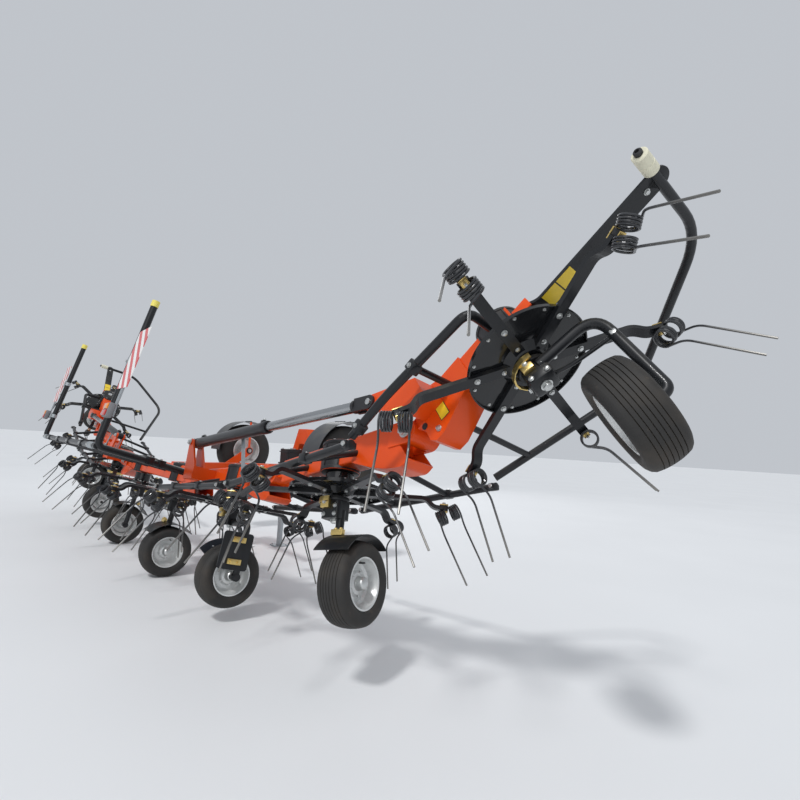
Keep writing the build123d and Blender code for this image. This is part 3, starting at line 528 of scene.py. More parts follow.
def ribbed_tyre(name, side, bead, tread, crowning, steps):
    """A tyre from its sidewall's outline, its bead's corner, and the ribs of a crowned tread.

    tread: ribs, half their width in all, a rib's bare edge and a groove's half as shares of the
    rib's pitch, the groove's depth, and how far out from the middle soil is held in grooves.
    """
    ribs, half, edge, cut, groove, soiled = tread
    outline = list(side)
    width = 2 * half / ribs
    for k in range(ribs):
        left = k * width - half
        for x in (left + width * edge, left + width * (1 - edge)):
            outline.append((x, crown(x, *crowning)))
        if k + 1 < ribs:
            for x in (left + width * (1 - cut), left + width * (1 + cut)):
                outline.append((x, crown(x, *crowning) - groove))
    outline += [(-x, r) for x, r in reversed(side)]
    outline += [bead, (-bead[0], bead[1])]
    bm = bmesh.new()
    add_lathe(bm, outline, "X", steps, 0, True)
    mesh = finish_mesh(name, bm, ["tyre"], 28.0)
    grooves = mesh.attributes.new("groove", "FLOAT", "POINT")
    for vert, value in zip(mesh.vertices, grooves.data):
        low = math.hypot(vert.co.y, vert.co.z) < crown(vert.co.x, *crowning) - groove / 2
        value.value = 1.0 if low and abs(vert.co.x) < soiled else 0.0
    return mesh


MATERIALS = {}


# Settings


def colour_prop(name, description, default):
    return FloatVectorProperty(name=name, description=description, subtype="COLOR", size=3, min=0, max=1,
                               default=default)


def length_prop(name, description, default, low, high):
    return FloatProperty(name=name, description=description, subtype="DISTANCE", unit="LENGTH",
                         default=default, min=low, max=high)


def count_prop(name, description, default, low, high):
    return IntProperty(name=name, description=description, default=default, min=low, max=high)


class TedderColours(bpy.types.PropertyGroup):
    frame_orange: colour_prop("Frame paint", "Beams and drawbar", (0.74, 0.072, 0.003))
    black: colour_prop("Black paint", "Rotors, rails and legs", (0.012, 0.013, 0.015))
    tyre: colour_prop("Tyre rubber", "Rubber of every wheel", (0.018, 0.017, 0.016))
    rim: colour_prop("Rim paint", "Silver of the rims", (0.70, 0.71, 0.70))
    plate: colour_prop("Plate yellow", "Blank yellow plates", (0.88, 0.62, 0.03))
    dust: FloatProperty(name="Dust", description="How much dust lies on upper faces", subtype="FACTOR",
                        min=0, max=1, default=0.22)


class TedderRotors(bpy.types.PropertyGroup):
    turns: count_prop("Coil turns", "Turns in each half of a tine's coil", 4, 2, 8)
    wire: length_prop("Tine wire", "Radius of the tine wire", 0.0048, 0.002, 0.01)
    coil: length_prop("Coil radius", "Radius of the coil's centreline", 0.036, 0.015, 0.06)
    trail: length_prop("Tine trail", "How far a tine's end trails behind its coil", 0.080, 0, 0.2)
    leg: length_prop("Tine leg", "Length of a tine's leg, from its coil's axis", 0.345, 0.1, 0.5)
    disc_bolts: count_prop("Disc bolts", "Bolts around the disc", 12, 4, 24)


class TedderWheels(bpy.types.PropertyGroup):
    ribs: count_prop("Tread ribs", "Ribs round a rotor wheel's tread", 7, 3, 11)
    groove: length_prop("Groove depth", "Depth of the tread grooves", 0.0055, 0.001, 0.02)
    steps: count_prop("Tyre steps", "Segments round a tyre", 64, 24, 128)


class TedderView(bpy.types.PropertyGroup):
    eye: FloatVectorProperty(name="Eye", description="Camera place in the frame's own level coordinates",
                             subtype="XYZ", size=3, unit="LENGTH", default=(5.3729, -1.5749, 0.8369))
    azimuth: FloatProperty(name="Azimuth", description="Camera heading, in the frame's coordinates",
                           subtype="ANGLE", unit="ROTATION", default=0.9088)
    elevation: FloatProperty(name="Elevation", description="Camera pitch, in the frame's coordinates",
                             subtype="ANGLE", unit="ROTATION", default=0.2288)
    roll: FloatProperty(name="Roll", description="Camera roll, in the frame's coordinates",
                        subtype="ANGLE", unit="ROTATION", default=0.2362)
    lens: FloatProperty(name="Lens", description="Focal length in millimetres", default=23.65)


# Operators


class TEDDER_OT_finishes(bpy.types.Operator):
    """Make the finishes and give them to the frame's own parts"""

    bl_idname = "tedder.finishes"
    bl_label = "Finishes"

    def execute(self, context):
        c = context.scene.tedder_colours
        MATERIALS.update({
            "orange": painted("Frame orange paint", c.frame_orange, 0.34, 0.12, c.dust, 0.32),
            "black": painted("Satin black paint", c.black, 0.34, 0.10, c.dust * 0.6, 0.32, 0.10),
            "disc": painted("Gloss black disc paint", [v * 0.6 for v in c.black], 0.18, 0.25,
                            c.dust * 0.3, 0.35),
            "plate_grey": painted("Dark grey plate paint", (0.022, 0.027, 0.036), 0.42, 0.10, c.dust * 0.6),
            "casting": painted("Black casting paint", (0.013, 0.013, 0.015), 0.46, 0.1, c.dust, 0.4, 0.5),
            "zinc": bright_metal("Bright zinc", (0.62, 0.63, 0.62), 0.34, 1.0, 0.25),
            "galvanised": bright_metal("Galvanised steel", (0.42, 0.45, 0.47), 0.46, 0.85, 0.55),
            "carriage": carriage_paint(c.frame_orange, c.dust),
            "lamp_grey": plastic("Grey lamp housing", (0.20, 0.20, 0.21), 0.5),
            "gold": bright_metal("Yellow zinc", (0.78, 0.58, 0.22), 0.32, 1.0, 0.2),
            "chrome": bright_metal("Ground rod steel", (0.40, 0.41, 0.42), 0.28, 1.0, 0.0, 0.01, 0.08),
            "rim": bright_metal("Silver rim paint", c.rim, 0.30, 0.45, 0.1),
            "tine": spring_steel("Tine spring steel", (0.022, 0.023, 0.026), (0.27, 0.26, 0.24)),
            "tyre": rubber("Tyre rubber", c.tyre, (0.13, 0.10, 0.07)),
            "yellow": plastic("Yellow cap plastic", (0.82, 0.70, 0.14), 0.45),
            "plate_yellow": plastic("Yellow plate film", c.plate, 0.38, 0.2),
            "cream": plastic("Cream roller plastic", (0.74, 0.71, 0.55), 0.48),
            "dark_plastic": plastic("Black moulded plastic", (0.018, 0.018, 0.020), 0.5),
            "red_lens": plastic("Red lens", (0.50, 0.018, 0.012), 0.14, 0.6),
            "amber_lens": plastic("Amber lens", (0.80, 0.24, 0.01), 0.14, 0.6),
            "stripes": striped_sheet("Striped board sheet", (0.62, 0.05, 0.05), (0.82, 0.82, 0.80)),
        })
        wear = {
            "frame_paint": "orange", "black_paint": "black", "gearbox_paint": "casting",
            "rod_chrome": "chrome", "zinc_steel": "galvanised", "tyre_rubber": "tyre", "rim_silver": "rim",
            "cap_yellow": "yellow", "board_white": "stripes", "lamp_red": "red_lens", "roller_cream": "cream",
        }
        slots = {row["node"]: row["material_slot"] for row in frame["record"]["subparts"]}
        for node, part in frame["nodes"].items():
            for slot in part.material_slots:
                slot.material = MATERIALS["carriage" if node == "transport_axle" else wear[slots[node]]]
        return {"FINISHED"}


class TEDDER_OT_rotors(bpy.types.Operator):
    """Wind the tines and build the eight rotors"""

    bl_idname = "tedder.rotors"
    bl_label = "Rotors"

    def tine(self, bm, settings, side):
        """One wound half from the clamp: coil, kink, then the long straight leg, trailing a little."""
        coil, start, wound = settings.coil, 0.014, 0.044
        total = settings.turns * COIL_STEPS + 10
        # In x along the coil's axis, in y across the arm, and z square to both
        path = [(0, 0, coil)]
        for k in range(total + 1):
            angle = math.tau * k / COIL_STEPS - math.pi / 2
            path.append((start + wound * k / total, coil * math.cos(angle), -coil * math.sin(angle)))
        end = start + wound
        leg = rounded([path[-1], (end, -0.033, -0.078), (end, -settings.trail, -settings.leg)], 0.035, 5)
        seat = move(COIL_AT, 0, COIL_Z) @ turn(-COIL_TILT, "Y")
        wire = [seat @ Vector((side * x, y, z)) for x, y, z in path + leg[1:]]
        add_pipe(bm, wire, settings.wire, 7, 1)

    def arm(self, bm, settings):
        """A flat S-bent arm with its bolts, clamp and double coil."""
        flat = (0.045, 0.020)
        path = rounded([(0.06, 0, ARM_Z), (0.466, 0, ARM_Z), (0.506, 0, 0.606), (0.556, 0, 0.604)], 0.03, 5)
        add_pipe(bm, path, 0, 4, 0, flat)
        for reach, size in ((0.225, 0.011), (0.110, 0.009)):
            add_bolt(bm, (reach, 0, ARM_Z - 0.010), size, 2, "Z", -1)
        add_bolt(bm, (0.225, 0, DISC_Z + DISC_HALF), 0.011, 2)
        # Clamp: a saddle over the wire, its plates, and the bolt that draws them together
        add_box(bm, (0.564, 0, 0.604), (0.034, 0.032, 0.032), 0.005, 3)
        add_box(bm, (0.560, 0, 0.622), (0.044, 0.036, 0.006), 0.002, 4)
        add_box(bm, (0.562, 0, 0.586), (0.036, 0.030, 0.006), 0.002, 4)
        add_bolt(bm, (0.560, 0, 0.625), 0.011, 2)
        add_disc(bm, (0.562, 0, 0.576), 0.0055, 0.016, 10, 0.001, 2)
        for side in (1, -1):
            self.tine(bm, settings, side)

    def rotor(self, settings):
        bm = bmesh.new()
        self.arm(bm, settings)
        whole = bm.verts[:] + bm.edges[:] + bm.faces[:]
        for k in range(1, ARMS):
            made = bmesh.ops.duplicate(bm, geom=whole)["geom"]
            verts = [g for g in made if isinstance(g, bmesh.types.BMVert)]
            bmesh.ops.rotate(bm, cent=(0, 0, 0), matrix=turn(k * 360 / ARMS, "Z").to_3x3(), verts=verts)
        top, under = DISC_Z + DISC_HALF, DISC_Z - DISC_HALF
        add_lathe(bm, [(0.749, 0.031), (0.749, 0.075), (top + 0.012, 0.075), (top, 0.110),
                       (top - 0.002, 0.165), (top, 0.180), (top, 0.252), (top - 0.002, 0.258),
                       (under - 0.014, 0.259), (under - 0.014, 0.254), (under, 0.252), (under, 0.180),
                       (under - 0.002, 0.165), (under, 0.110), (0.633, 0.078), (0.633, 0.031)],
                  "Z", 72, 5, True)
        for k in range(settings.disc_bolts):
            a = math.tau * (k + 0.5) / settings.disc_bolts
            for reach, size in ((0.236, 0.0062), (0.092, 0.008)):
                for height, out in ((top, 1), (under, -1)):
                    add_bolt(bm, (reach * math.cos(a), reach * math.sin(a), height), size, 2, "Z", out)
        return bm

    def execute(self, context):
        settings = context.scene.tedder_rotors
        meshes = []
        for odd in (0, 1):
            bm = self.rotor(settings)
            # Even rotors turn the other way, so their tines trail to the other side
            if not odd:
                bmesh.ops.scale(bm, vec=(1, -1, 1), verts=bm.verts[:])
            mesh = finish_mesh(f"tined_rotor_{odd}", bm, ["black", "tine", "zinc", "casting", "gold", "disc"])
            rubbed = mesh.attributes.new("rubbed", "FLOAT", "POINT")
            for vert, value in zip(mesh.vertices, rubbed.data):
                low = max(0.0, min(1.0, (RUB_TOP - vert.co.z) / RUB_FADE))
                value.value = low if math.hypot(vert.co.x, vert.co.y) > RUB_OUT else 0.0
            meshes.append(mesh)
        for number, at, level, hand, *_ in ROTORS:
            pose = rotor_seat(at, level, hand, PHASES[number % 2])
            copy_placed(meshes[number % 2], f"tined_rotor_{number}", pose, f"rotor_{number}",
                        [f"rotor_{number}"])
        return {"FINISHED"}


class TEDDER_OT_wheels(bpy.types.Operator):
    """Build the ribbed tyres and dished rims of the rotor wheels"""

    bl_idname = "tedder.wheels"
    bl_label = "Rotor wheels"

    def rim(self, bm):
        """A dished steel rim with rolled lips, hub, cap, wheel bolts and valve."""
        add_lathe(bm, [(-0.062, 0.117), (-0.066, 0.122), (-0.069, 0.122), (-0.068, 0.114), (-0.050, 0.110),
                       (-0.040, 0.098), (0.018, 0.098), (0.006, 0.086), (0.012, 0.062), (0.026, 0.050),
                       (0.030, 0.034), (0.034, 0.030), (0.034, 0.0155), (-0.050, 0.0155), (-0.050, 0.033),
                       (0.022, 0.046), (0.008, 0.058), (-0.001, 0.088), (0.016, 0.102), (-0.034, 0.102),
                       (-0.046, 0.114)], "X", 56, 0, True)
        add_lathe(bm, [(0.062, 0.117), (0.066, 0.122), (0.069, 0.122), (0.068, 0.114), (0.050, 0.110),
                       (0.030, 0.098), (0.012, 0.098), (0.012, 0.102), (0.030, 0.104), (0.046, 0.114)],
                  "X", 56, 0, True)
        add_lathe(bm, [(0.030, 0.0), (0.030, 0.034), (0.036, 0.0345), (0.039, 0.0325), (0.060, 0.031),
                       (0.069, 0.026), (0.074, 0.016), (0.0755, 0.006), (0.0755, 0.0)], "X", 36, 1)
        for k in range(5):
            a = math.tau * k / 5
            add_bolt(bm, (0.020, 0.056 * math.cos(a), 0.056 * math.sin(a)), 0.0085, 1, "X")
        add_disc(bm, (0.040, 0.0, 0.094), 0.004, 0.034, 10, 0.0005, 2, "X")

    def execute(self, context):
        settings = context.scene.tedder_wheels
        side = [(-0.062, 0.117), (-0.070, 0.126), (-0.079, 0.140), (-0.0825, 0.155), (-0.0805, 0.170),
                (-0.073, 0.183), (-0.062, 0.1915)]
        tread = (settings.ribs, 0.059, 0.10, 0.03, settings.groove, 0.055)
        crowning = (TYRE_R, 0.0085, 0.062, 2.2)
        tyre = ribbed_tyre("ribbed_tyre", side, (0.055, 0.113), tread, crowning, settings.steps)
        bm = bmesh.new()
        self.rim(bm)
        rim = finish_mesh("dished_rim", bm, ["rim", "zinc", "dark_plastic"])
        for number, at, level, hand, swing, _ in ROTORS:
            pose = leg_seat(at, level, hand, swing) @ move(WHEEL_OUT, 0, TYRE_R)
            body = f"wheel_{number}"
            copy_placed(tyre, f"ribbed_tyre_{number}", pose, body, [f"tyre_{number}"])
            copy_placed(rim, f"dished_rim_{number}", pose, body, [f"rim_{number}"])
        return {"FINISHED"}


class TEDDER_OT_leg_fittings(bpy.types.Operator):
    """Add the hub rings, brackets and bolts of the wheel legs"""

    bl_idname = "tedder.leg_fittings"
    bl_label = "Leg fittings"

    def fittings(self, bm, kind):
        # Slotted half ring and clamp block round the leg's head, with its set lever
        ring = [(x, y, 0.603) for x, y in arc((0, 0), 0.090, 100, 280, 9)]
        for start, end in zip(ring, ring[1:]):
            add_pipe(bm, [start, end], 0, 4, 1, (0.007, 0.024))
        add_box(bm, (-0.020, -0.062, 0.585), (0.050, 0.030, 0.052), 0.004, 1)
        add_disc(bm, (0, 0, 0.612), 0.066, 0.022, 36, 0.003, 3)
        add_bolt(bm, (-0.020, -0.077, 0.590), 0.011, 2, "Y", -1)
        for x, z in ((0.034, 0.572), (0.034, 0.530), (-0.034, 0.530)):
            add_bolt(bm, (x, -0.055, z), 0.010, 2, "Y", -1)
        add_bolt(bm, (-0.055, 0.030, 0.555), 0.012, 2, "X", -1)
        add_bolt(bm, (0, 0, 0.510), 0.022, 2, "Z", -1)
        if kind == "inner":
            add_box(bm, (0.075, -0.060, 0.432), (0.070, 0.026, 0.030), 0.003, 1)
            for x in (0.060, 0.092):
                add_bolt(bm, (x, -0.060, 0.447), 0.009, 1)
        if kind == "plated":
            for z in (0.425, 0.290):
                add_box(bm, (0.309, -0.050, z), (0.014, 0.092, 0.034), 0.003, 1)
                for y in (-0.075, -0.025):
                    add_bolt(bm, (0.316, y, z), 0.008, 1, "X")
            outline = arc((0, TYRE_R), 0.224, 52, 143, 14) + arc((0, TYRE_R), 0.150, 143, 52, 8)
            add_plate(bm, outline, 0.034, 0.0375, 4, "X")
            for turned in (60, 98, 135):
                y, z = arc((0, TYRE_R), 0.2262, turned, turned, 1)[0]
                add_bolt(bm, (0.200, y, z), 0.006, 2)
        if kind in HUB_OUT:
            add_disc(bm, (HUB_OUT[kind], 0, TYRE_R), 0.026, 0.046, 24, 0.004, 0, "X")

    def outer_leg(self, bm):
        """A tip wheel's swept tube leg, its flat brace, head block and axle."""
        add_disc(bm, (0, 0, 0.632), 0.030, 0.244, 32, 0.001, 0)
        add_box(bm, (0, 0, 0.555), (0.110, 0.110, 0.090), 0.018, 0)
        tube = [(0.020, -0.045, 0.575), (0.294, -0.056, 0.603), (0.292, 0, TYRE_R), (0.224, 0, TYRE_R)]
        add_pipe(bm, rounded(tube, 0.100, 9), 0.0215, 22)
        brace = [(0.020, 0.010, 0.548), (0.115, -0.006, 0.512), (0.215, -0.020, 0.500),
                 (0.290, -0.034, 0.490)]
        add_pipe(bm, rounded(brace, 0.06, 5), 0.0085, 12)
        add_disc(bm, (0.292, -0.036, 0.488), 0.013, 0.052, 20, 0.002, 2, "Y")
        add_disc(bm, (0.160, 0, TYRE_R), 0.015, 0.118, 24, 0.001, 2, "X")

    def execute(self, context):
        for number, at, level, hand, swing, kind in ROTORS:
            pose = leg_seat(at, level, hand, swing)
            body = body_of(level, hand)
            bm = bmesh.new()
            self.fittings(bm, kind)
            piece(f"leg_fittings_{number}", bm, ["black", "gold", "zinc", "casting", "plate_grey"], body,
                  pose)
            if kind == "outer":
                bm = bmesh.new()
                self.outer_leg(bm)
                piece(f"swept_leg_{SIDE[hand]}", bm, ["black", "gold", "zinc"], body, pose,
                      [f"tip_wheel_leg_{SIDE[hand]}"])
        return {"FINISHED"}


class TEDDER_OT_beam_fittings(bpy.types.Operator):
    """Add gearbox covers, hinge nuts, folded plates and rest bars to the beams"""

    bl_idname = "tedder.beam_fittings"
    bl_label = "Beam fittings"

    def gearbox(self, bm, x):
        """A cast cover over a beam's gearbox, with its flange bolts and ribs."""
        low, high = BEAM_Z - 0.0805, BEAM_Z + 0.0805
        before = set(bm.verts)
        add_lathe(bm, [(low, 0.02), (low, 0.100), (low + 0.004, 0.108), (low + 0.018, 0.108),
                       (low + 0.020, 0.1055), (high - 0.020, 0.1055), (high - 0.018, 0.109),
                       (high - 0.004, 0.109), (high, 0.104), (high + 0.012, 0.070), (high + 0.014, 0.02),
                       (high + 0.014, 0.0005)], "Z", 48, 1)
        add_disc(bm, (0, 0, high + 0.016), 0.030, 0.012, 6, 0.002, 2)
        for k in range(8):
            a = math.tau * (k + 0.5) / 8
            add_bolt(bm, (0.091 * math.cos(a), 0.091 * math.sin(a), high - 0.001), 0.008, 2)
            rib = turn(k * 360 / 8, "Z")
            add_box(bm, rib @ Vector((0.1065, 0, BEAM_Z)), (0.006, 0.008, 0.118), 0.001, 1, rib)
        fresh = [v for v in bm.verts if v not in before]
        bmesh.ops.translate(bm, vec=(x, 0, 0), verts=fresh)

    def hinge(self, bm, x):
        """Washers and nuts on a hinge pin's ends, and a grease nipple."""
        for out in (1, -1):
            add_bolt(bm, (x, out * 0.0915, BEAM_Z), 0.030, 2, "Y", out)
            add_disc(bm, (x, out * 0.1135, BEAM_Z), 0.014, 0.010, 16, 0.001, 2, "Y")
        add_disc(bm, (x, 0, BEAM_Z + 0.062), 0.005, 0.014, 8, 0, 3)

    def hinge_plate(self, bm, x, hand):
        """A folded plate under a beam's outer end, below its hinge."""
        base = BEAM_Z - BEAM_HALF
        bends = ((0.40, 0.002), (0.24, 0.055), (0.12, 0.084), (0.02, 0.088), (-0.016, 0.060))
        fold = [(x - hand * a, base - b) for a, b in bends]
        add_pipe(bm, rounded([(a, 0, b) for a, b in fold], 0.08, 4), 0, 4, 0, (0.160, 0.007))
        for y in (-0.078, 0.072):
            outline = fold + [(x - hand * 0.05, base + 0.02), (x - hand * 0.11, base + 0.03)]
            add_plate(bm, outline, y, y + 0.006)

    def root(self, bm, x, hand):
        """The tip beam's deepened root, widening towards its hinge."""
        outline = [(0.086, 0.690), (0.110, 0.664), (0.165, 0.664), (0.280, 0.712), (0.400, 0.7635),
                   (0.400, 0.9065), (0.270, 0.9065), (0.140, 0.950), (0.104, 0.950), (0.086, 0.925)]
        add_plate(bm, [(x + hand * a, b) for a, b in outline], -0.0765, 0.0765)
        for y, out in ((-0.0765, -1), (0.0765, 1)):
            for z in (0.915, 0.700):
                add_bolt(bm, (x + hand * 0.150, y, z), 0.013, 2, "Y", out)
            add_disc(bm, (x + hand * 0.093, y, 0.771), 0.016, 0.006, 20, 0.001, 1, "Y")

    def plate(self, bm, x):
        """A blank plate with a thin dark frame."""
        add_box(bm, (x, -0.0771, 0.764), (0.054, 0.0012, 0.091), 0, 3)
        add_box(bm, (x, -0.0779, 0.764), (0.048, 0.0012, 0.085), 0, 4)

    def rest(self, bm, hand):
        """A slanting galvanised rest bar on its lug."""
        add_pipe(bm, [(hand * 2.17, -0.070, 0.800), (hand * 2.168, -0.145, 0.800)], 0, 4, 5, (0.040, 0.006))
        outline = [(2.192, 0.770), (2.146, 0.770), (1.978, 1.080), (2.024, 1.080)]
        add_plate(bm, [(hand * a, b) for a, b in outline], -0.152, -0.146, 5)
        add_bolt(bm, (hand * 2.160, -0.152, 0.800), 0.011, 2, "Y", -1)

    def execute(self, context):
        names = ["orange", "casting", "zinc", "dark_plastic", "plate_yellow", "galvanised"]
        for level in range(4):
            for hand in (RIGHT, LEFT):
                bm = bmesh.new()
                self.gearbox(bm, hand * PITCH * (level + 0.5))
                if level < 3:
                    self.hinge(bm, hand * PITCH * (level + 1))
                    self.hinge_plate(bm, hand * PITCH * (level + 1), hand)
                else:
                    self.root(bm, hand * PITCH * level, hand)
                    self.plate(bm, hand * (PITCH * level + 0.205))
                if level == 1:
                    self.rest(bm, hand)
                piece(f"beam_fittings_{level}_{SIDE[hand]}", bm, names, body_of(level, hand),
                      section(level, hand))
        return {"FINISHED"}


class TEDDER_OT_cylinders(bpy.types.Operator):
    """Build the fold cylinders' barrels, rods and clevises"""

    bl_idname = "tedder.cylinders"
    bl_label = "Fold cylinders"

    def barrel(self, bm):
        """A barrel along X from its foot's pin, with its gland and two ports."""
        add_lathe(bm, [(0.080, 0.002), (0.080, 0.036), (0.086, 0.038), (1.105, 0.038), (1.107, 0.0405),
                       (1.152, 0.0405), (1.160, 0.037), (1.160, 0.0298), (0.450, 0.0298), (0.450, 0.002)],
                  "X", 40, 0, True)
        add_disc(bm, (0, 0, 0), 0.034, 0.054, 32, 0.002, 0, "Y")
        add_box(bm, (0.042, 0, 0), (0.084, 0.054, 0.062), 0.004, 0)
        for port in (0.130, 1.080):
            add_box(bm, (port, 0, 0.041), (0.040, 0.032, 0.020), 0.003, 0)
            add_disc(bm, (port, 0, 0.056), 0.010, 0.012, 6, 0.001, 2)

    def rod(self, bm, reach):
        """The rod from inside the barrel to its clevis, whose pin is at reach."""
        inside, clevis = 0.740, reach - 0.118
        add_disc(bm, ((inside + clevis) / 2, 0, 0), 0.0285, clevis - inside, 40, 0.001, 0, "X")
        add_disc(bm, (reach - 0.122, 0, 0), 0.034, 0.022, 32, 0.003, 1, "X")
        add_box(bm, (reach - 0.109, 0, 0), (0.018, 0.052, 0.066), 0.003, 1)
        outline = [(clevis, 0.033)] + arc((reach, 0), 0.034, 90, -90, 14) + [(clevis, -0.033)]
        for side in (1, -1):
            add_plate(bm, outline, side * 0.0115, side * 0.0250, 1)
            add_disc(bm, (reach, side * 0.028, 0), 0.016, 0.007, 24, 0.001, 2, "Y")

    def execute(self, context):
        for hand, name in SIDE.items():
            inner, tip = section(1, hand), section(3, hand)
            foot = inner @ Vector((hand * FOOT_X, FOLD_Y, FOOT_Z))
            eye = tip @ Vector((hand * EYE_X, FOLD_Y, EYE_Z))
            along = (eye - foot).normalized()
            pin = inner.to_3x3() @ Vector((0, hand, 0))
            pose = Matrix.Translation(foot) @ Matrix((along, pin, along.cross(pin))).transposed().to_4x4()
            bm = bmesh.new()
            self.barrel(bm)
            piece(f"cylinder_barrel_{name}", bm, ["black", "dark_plastic", "zinc"], f"fold_cylinder_{name}",
                  pose, [f"fold_cylinder_{name}"])
            bm = bmesh.new()
            self.rod(bm, (eye - foot).length)
            piece(f"cylinder_rod_{name}", bm, ["chrome", "casting", "zinc"], f"fold_rod_{name}",
                  pose, [f"fold_rod_{name}"])
            bm = bmesh.new()
            for y in (1, -1):
                add_bolt(bm, (hand * FOOT_X, FOLD_Y + y * 0.0475, FOOT_Z), 0.019, 0, "Y", y)
            piece(f"cylinder_foot_nuts_{name}", bm, ["zinc"], body_of(1, hand), inner)
        return {"FINISHED"}


class TEDDER_OT_rails(bpy.types.Operator):
    """Add the rails' clamps, and build the tip guards and their rollers"""

    bl_idname = "tedder.rails"
    bl_label = "Guards and rails"

    def clamps(self, bm, near, far, hand):
        """End clamps and mid blocks on both rails of a wing section, between its two hinges."""
        for y, z in RAILS:
            for x in (near + 0.05, far - 0.05):
                add_disc(bm, (hand * x, y, z), 0.0215, 0.040, 24, 0.003, 0, "X")
                add_box(bm, (hand * x, y, z), (0.030, 0.060, 0.030), 0.004, 0)
                add_bolt(bm, (hand * x, y - 0.030, z), 0.010, 2, "Y", -1)
            for x in (near + 0.38, far - 0.38):
                add_box(bm, (hand * x, y, z + 0.004), (0.052, 0.050, 0.046), 0.005, 0)
                add_bolt(bm, (hand * x, y, z + 0.026), 0.010, 2)

    def guard(self, bm, hand):
        """A tip's guard: flat arm and end disc, bent loop and rail with their stays, and a blank plate."""
        z = GUARD_Z
        arm = [(4.296, -0.02, 0.822), (4.352, -0.02, 0.822), (4.402, -0.02, z), (GUARD_X, -0.02, z)]
        loop = [(GUARD_X, -0.07, z), (GUARD_X, 0.36, z), (4.36, 0.85, z), (3.56, 0.568, z)]
        rail = [(3.47, -0.30, 0.840), (3.72, -0.30, 0.838), (4.215, -0.30, 0.784), (4.205, -0.06, 0.800)]
        add_pipe(bm, rounded(to_hand(hand, arm), 0.02, 3), 0, 4, 0, (0.090, 0.012))
        add_disc(bm, (hand * GUARD_X, -0.02, z), 0.045, 0.012, 32, 0.002, 0)
        add_pipe(bm, rounded(to_hand(hand, loop), 0.15, 8), 0.020, 18)
        add_pipe(bm, rounded(to_hand(hand, rail), 0.055, 6), 0.020, 18)
        for stay in ([(3.76, 0.638, z), (3.76, 0.06, 0.822)], [(3.90, -0.30, 0.818), (3.90, -0.06, 0.824)]):
            add_pipe(bm, to_hand(hand, stay), 0.016, 14)
        for x, height in ((3.90, 0.818), (3.53, 0.840)):
            add_box(bm, (hand * x, -0.30, height), (0.050, 0.050, 0.050), 0.006, 0)
            add_bolt(bm, (hand * x, -0.325, height), 0.010, 2, "Y", -1)
        # Folded root, its orange bracket, and the blank plate in two panels
        add_box(bm, (hand * 4.312, -0.02, 0.800), (0.036, 0.116, 0.030), 0.004, 4)
        for y in (-0.072, 0.032):
            add_box(bm, (hand * 4.335, y, 0.812), (0.080, 0.008, 0.052), 0.002, 4)
        for y in (-0.045, 0.005):
            add_bolt(bm, (hand * 4.322, y, 0.828), 0.011, 2)
        for side in (1, -1):
            for x in (4.455, 4.535):
                add_box(bm, (hand * x, -0.02, z + side * 0.0064), (0.074, 0.080, 0.0012), 0, 3)
            add_bolt(bm, (hand * 4.93, -0.02, z + side * 0.006), 0.011, 2, "Z", side)

    def roller(self, bm):
        """A plastic roller with a groove round its middle, and the cap on its end."""
        add_lathe(bm, [(0.0, 0.010), (0.0, 0.026), (0.004, 0.030), (0.044, 0.030), (0.046, 0.0285),
                       (0.050, 0.0285), (0.052, 0.030), (0.096, 0.030), (0.100, 0.026), (0.100, 0.010)],
                  "X", 40, 0, True)
        add_lathe(bm, [(0.098, 0.0), (0.098, 0.016), (0.112, 0.016), (0.116, 0.012), (0.116, 0.008),
                       (0.108, 0.006), (0.108, 0.0)], "X", 28, 1)

    def execute(self, context):
        for hand, name in SIDE.items():
            for level in (1, 2):
                bm = bmesh.new()
                self.clamps(bm, PITCH * level, PITCH * (level + 1), hand)
                piece(f"rail_clamps_{level}_{name}", bm, ["black", "galvanised", "zinc"],
                      body_of(level, hand), section(level, hand))
            body, pose = body_of(3, hand), section(3, hand)
            bm = bmesh.new()
            self.guard(bm, hand)
            piece(f"tip_guard_loop_{name}", bm, ["black", "galvanised", "zinc", "plate_yellow", "orange"],
                  body, pose, [f"tip_guard_{name}"])
            bm = bmesh.new()
            self.roller(bm)
            pose = pose @ move(hand * GUARD_X, -0.065, GUARD_Z) @ turn(-90, "Z")
            piece(f"guard_roller_{name}", bm, ["cream", "dark_plastic"], body, pose,
                  [f"tip_roller_{name}"])
        return {"FINISHED"}


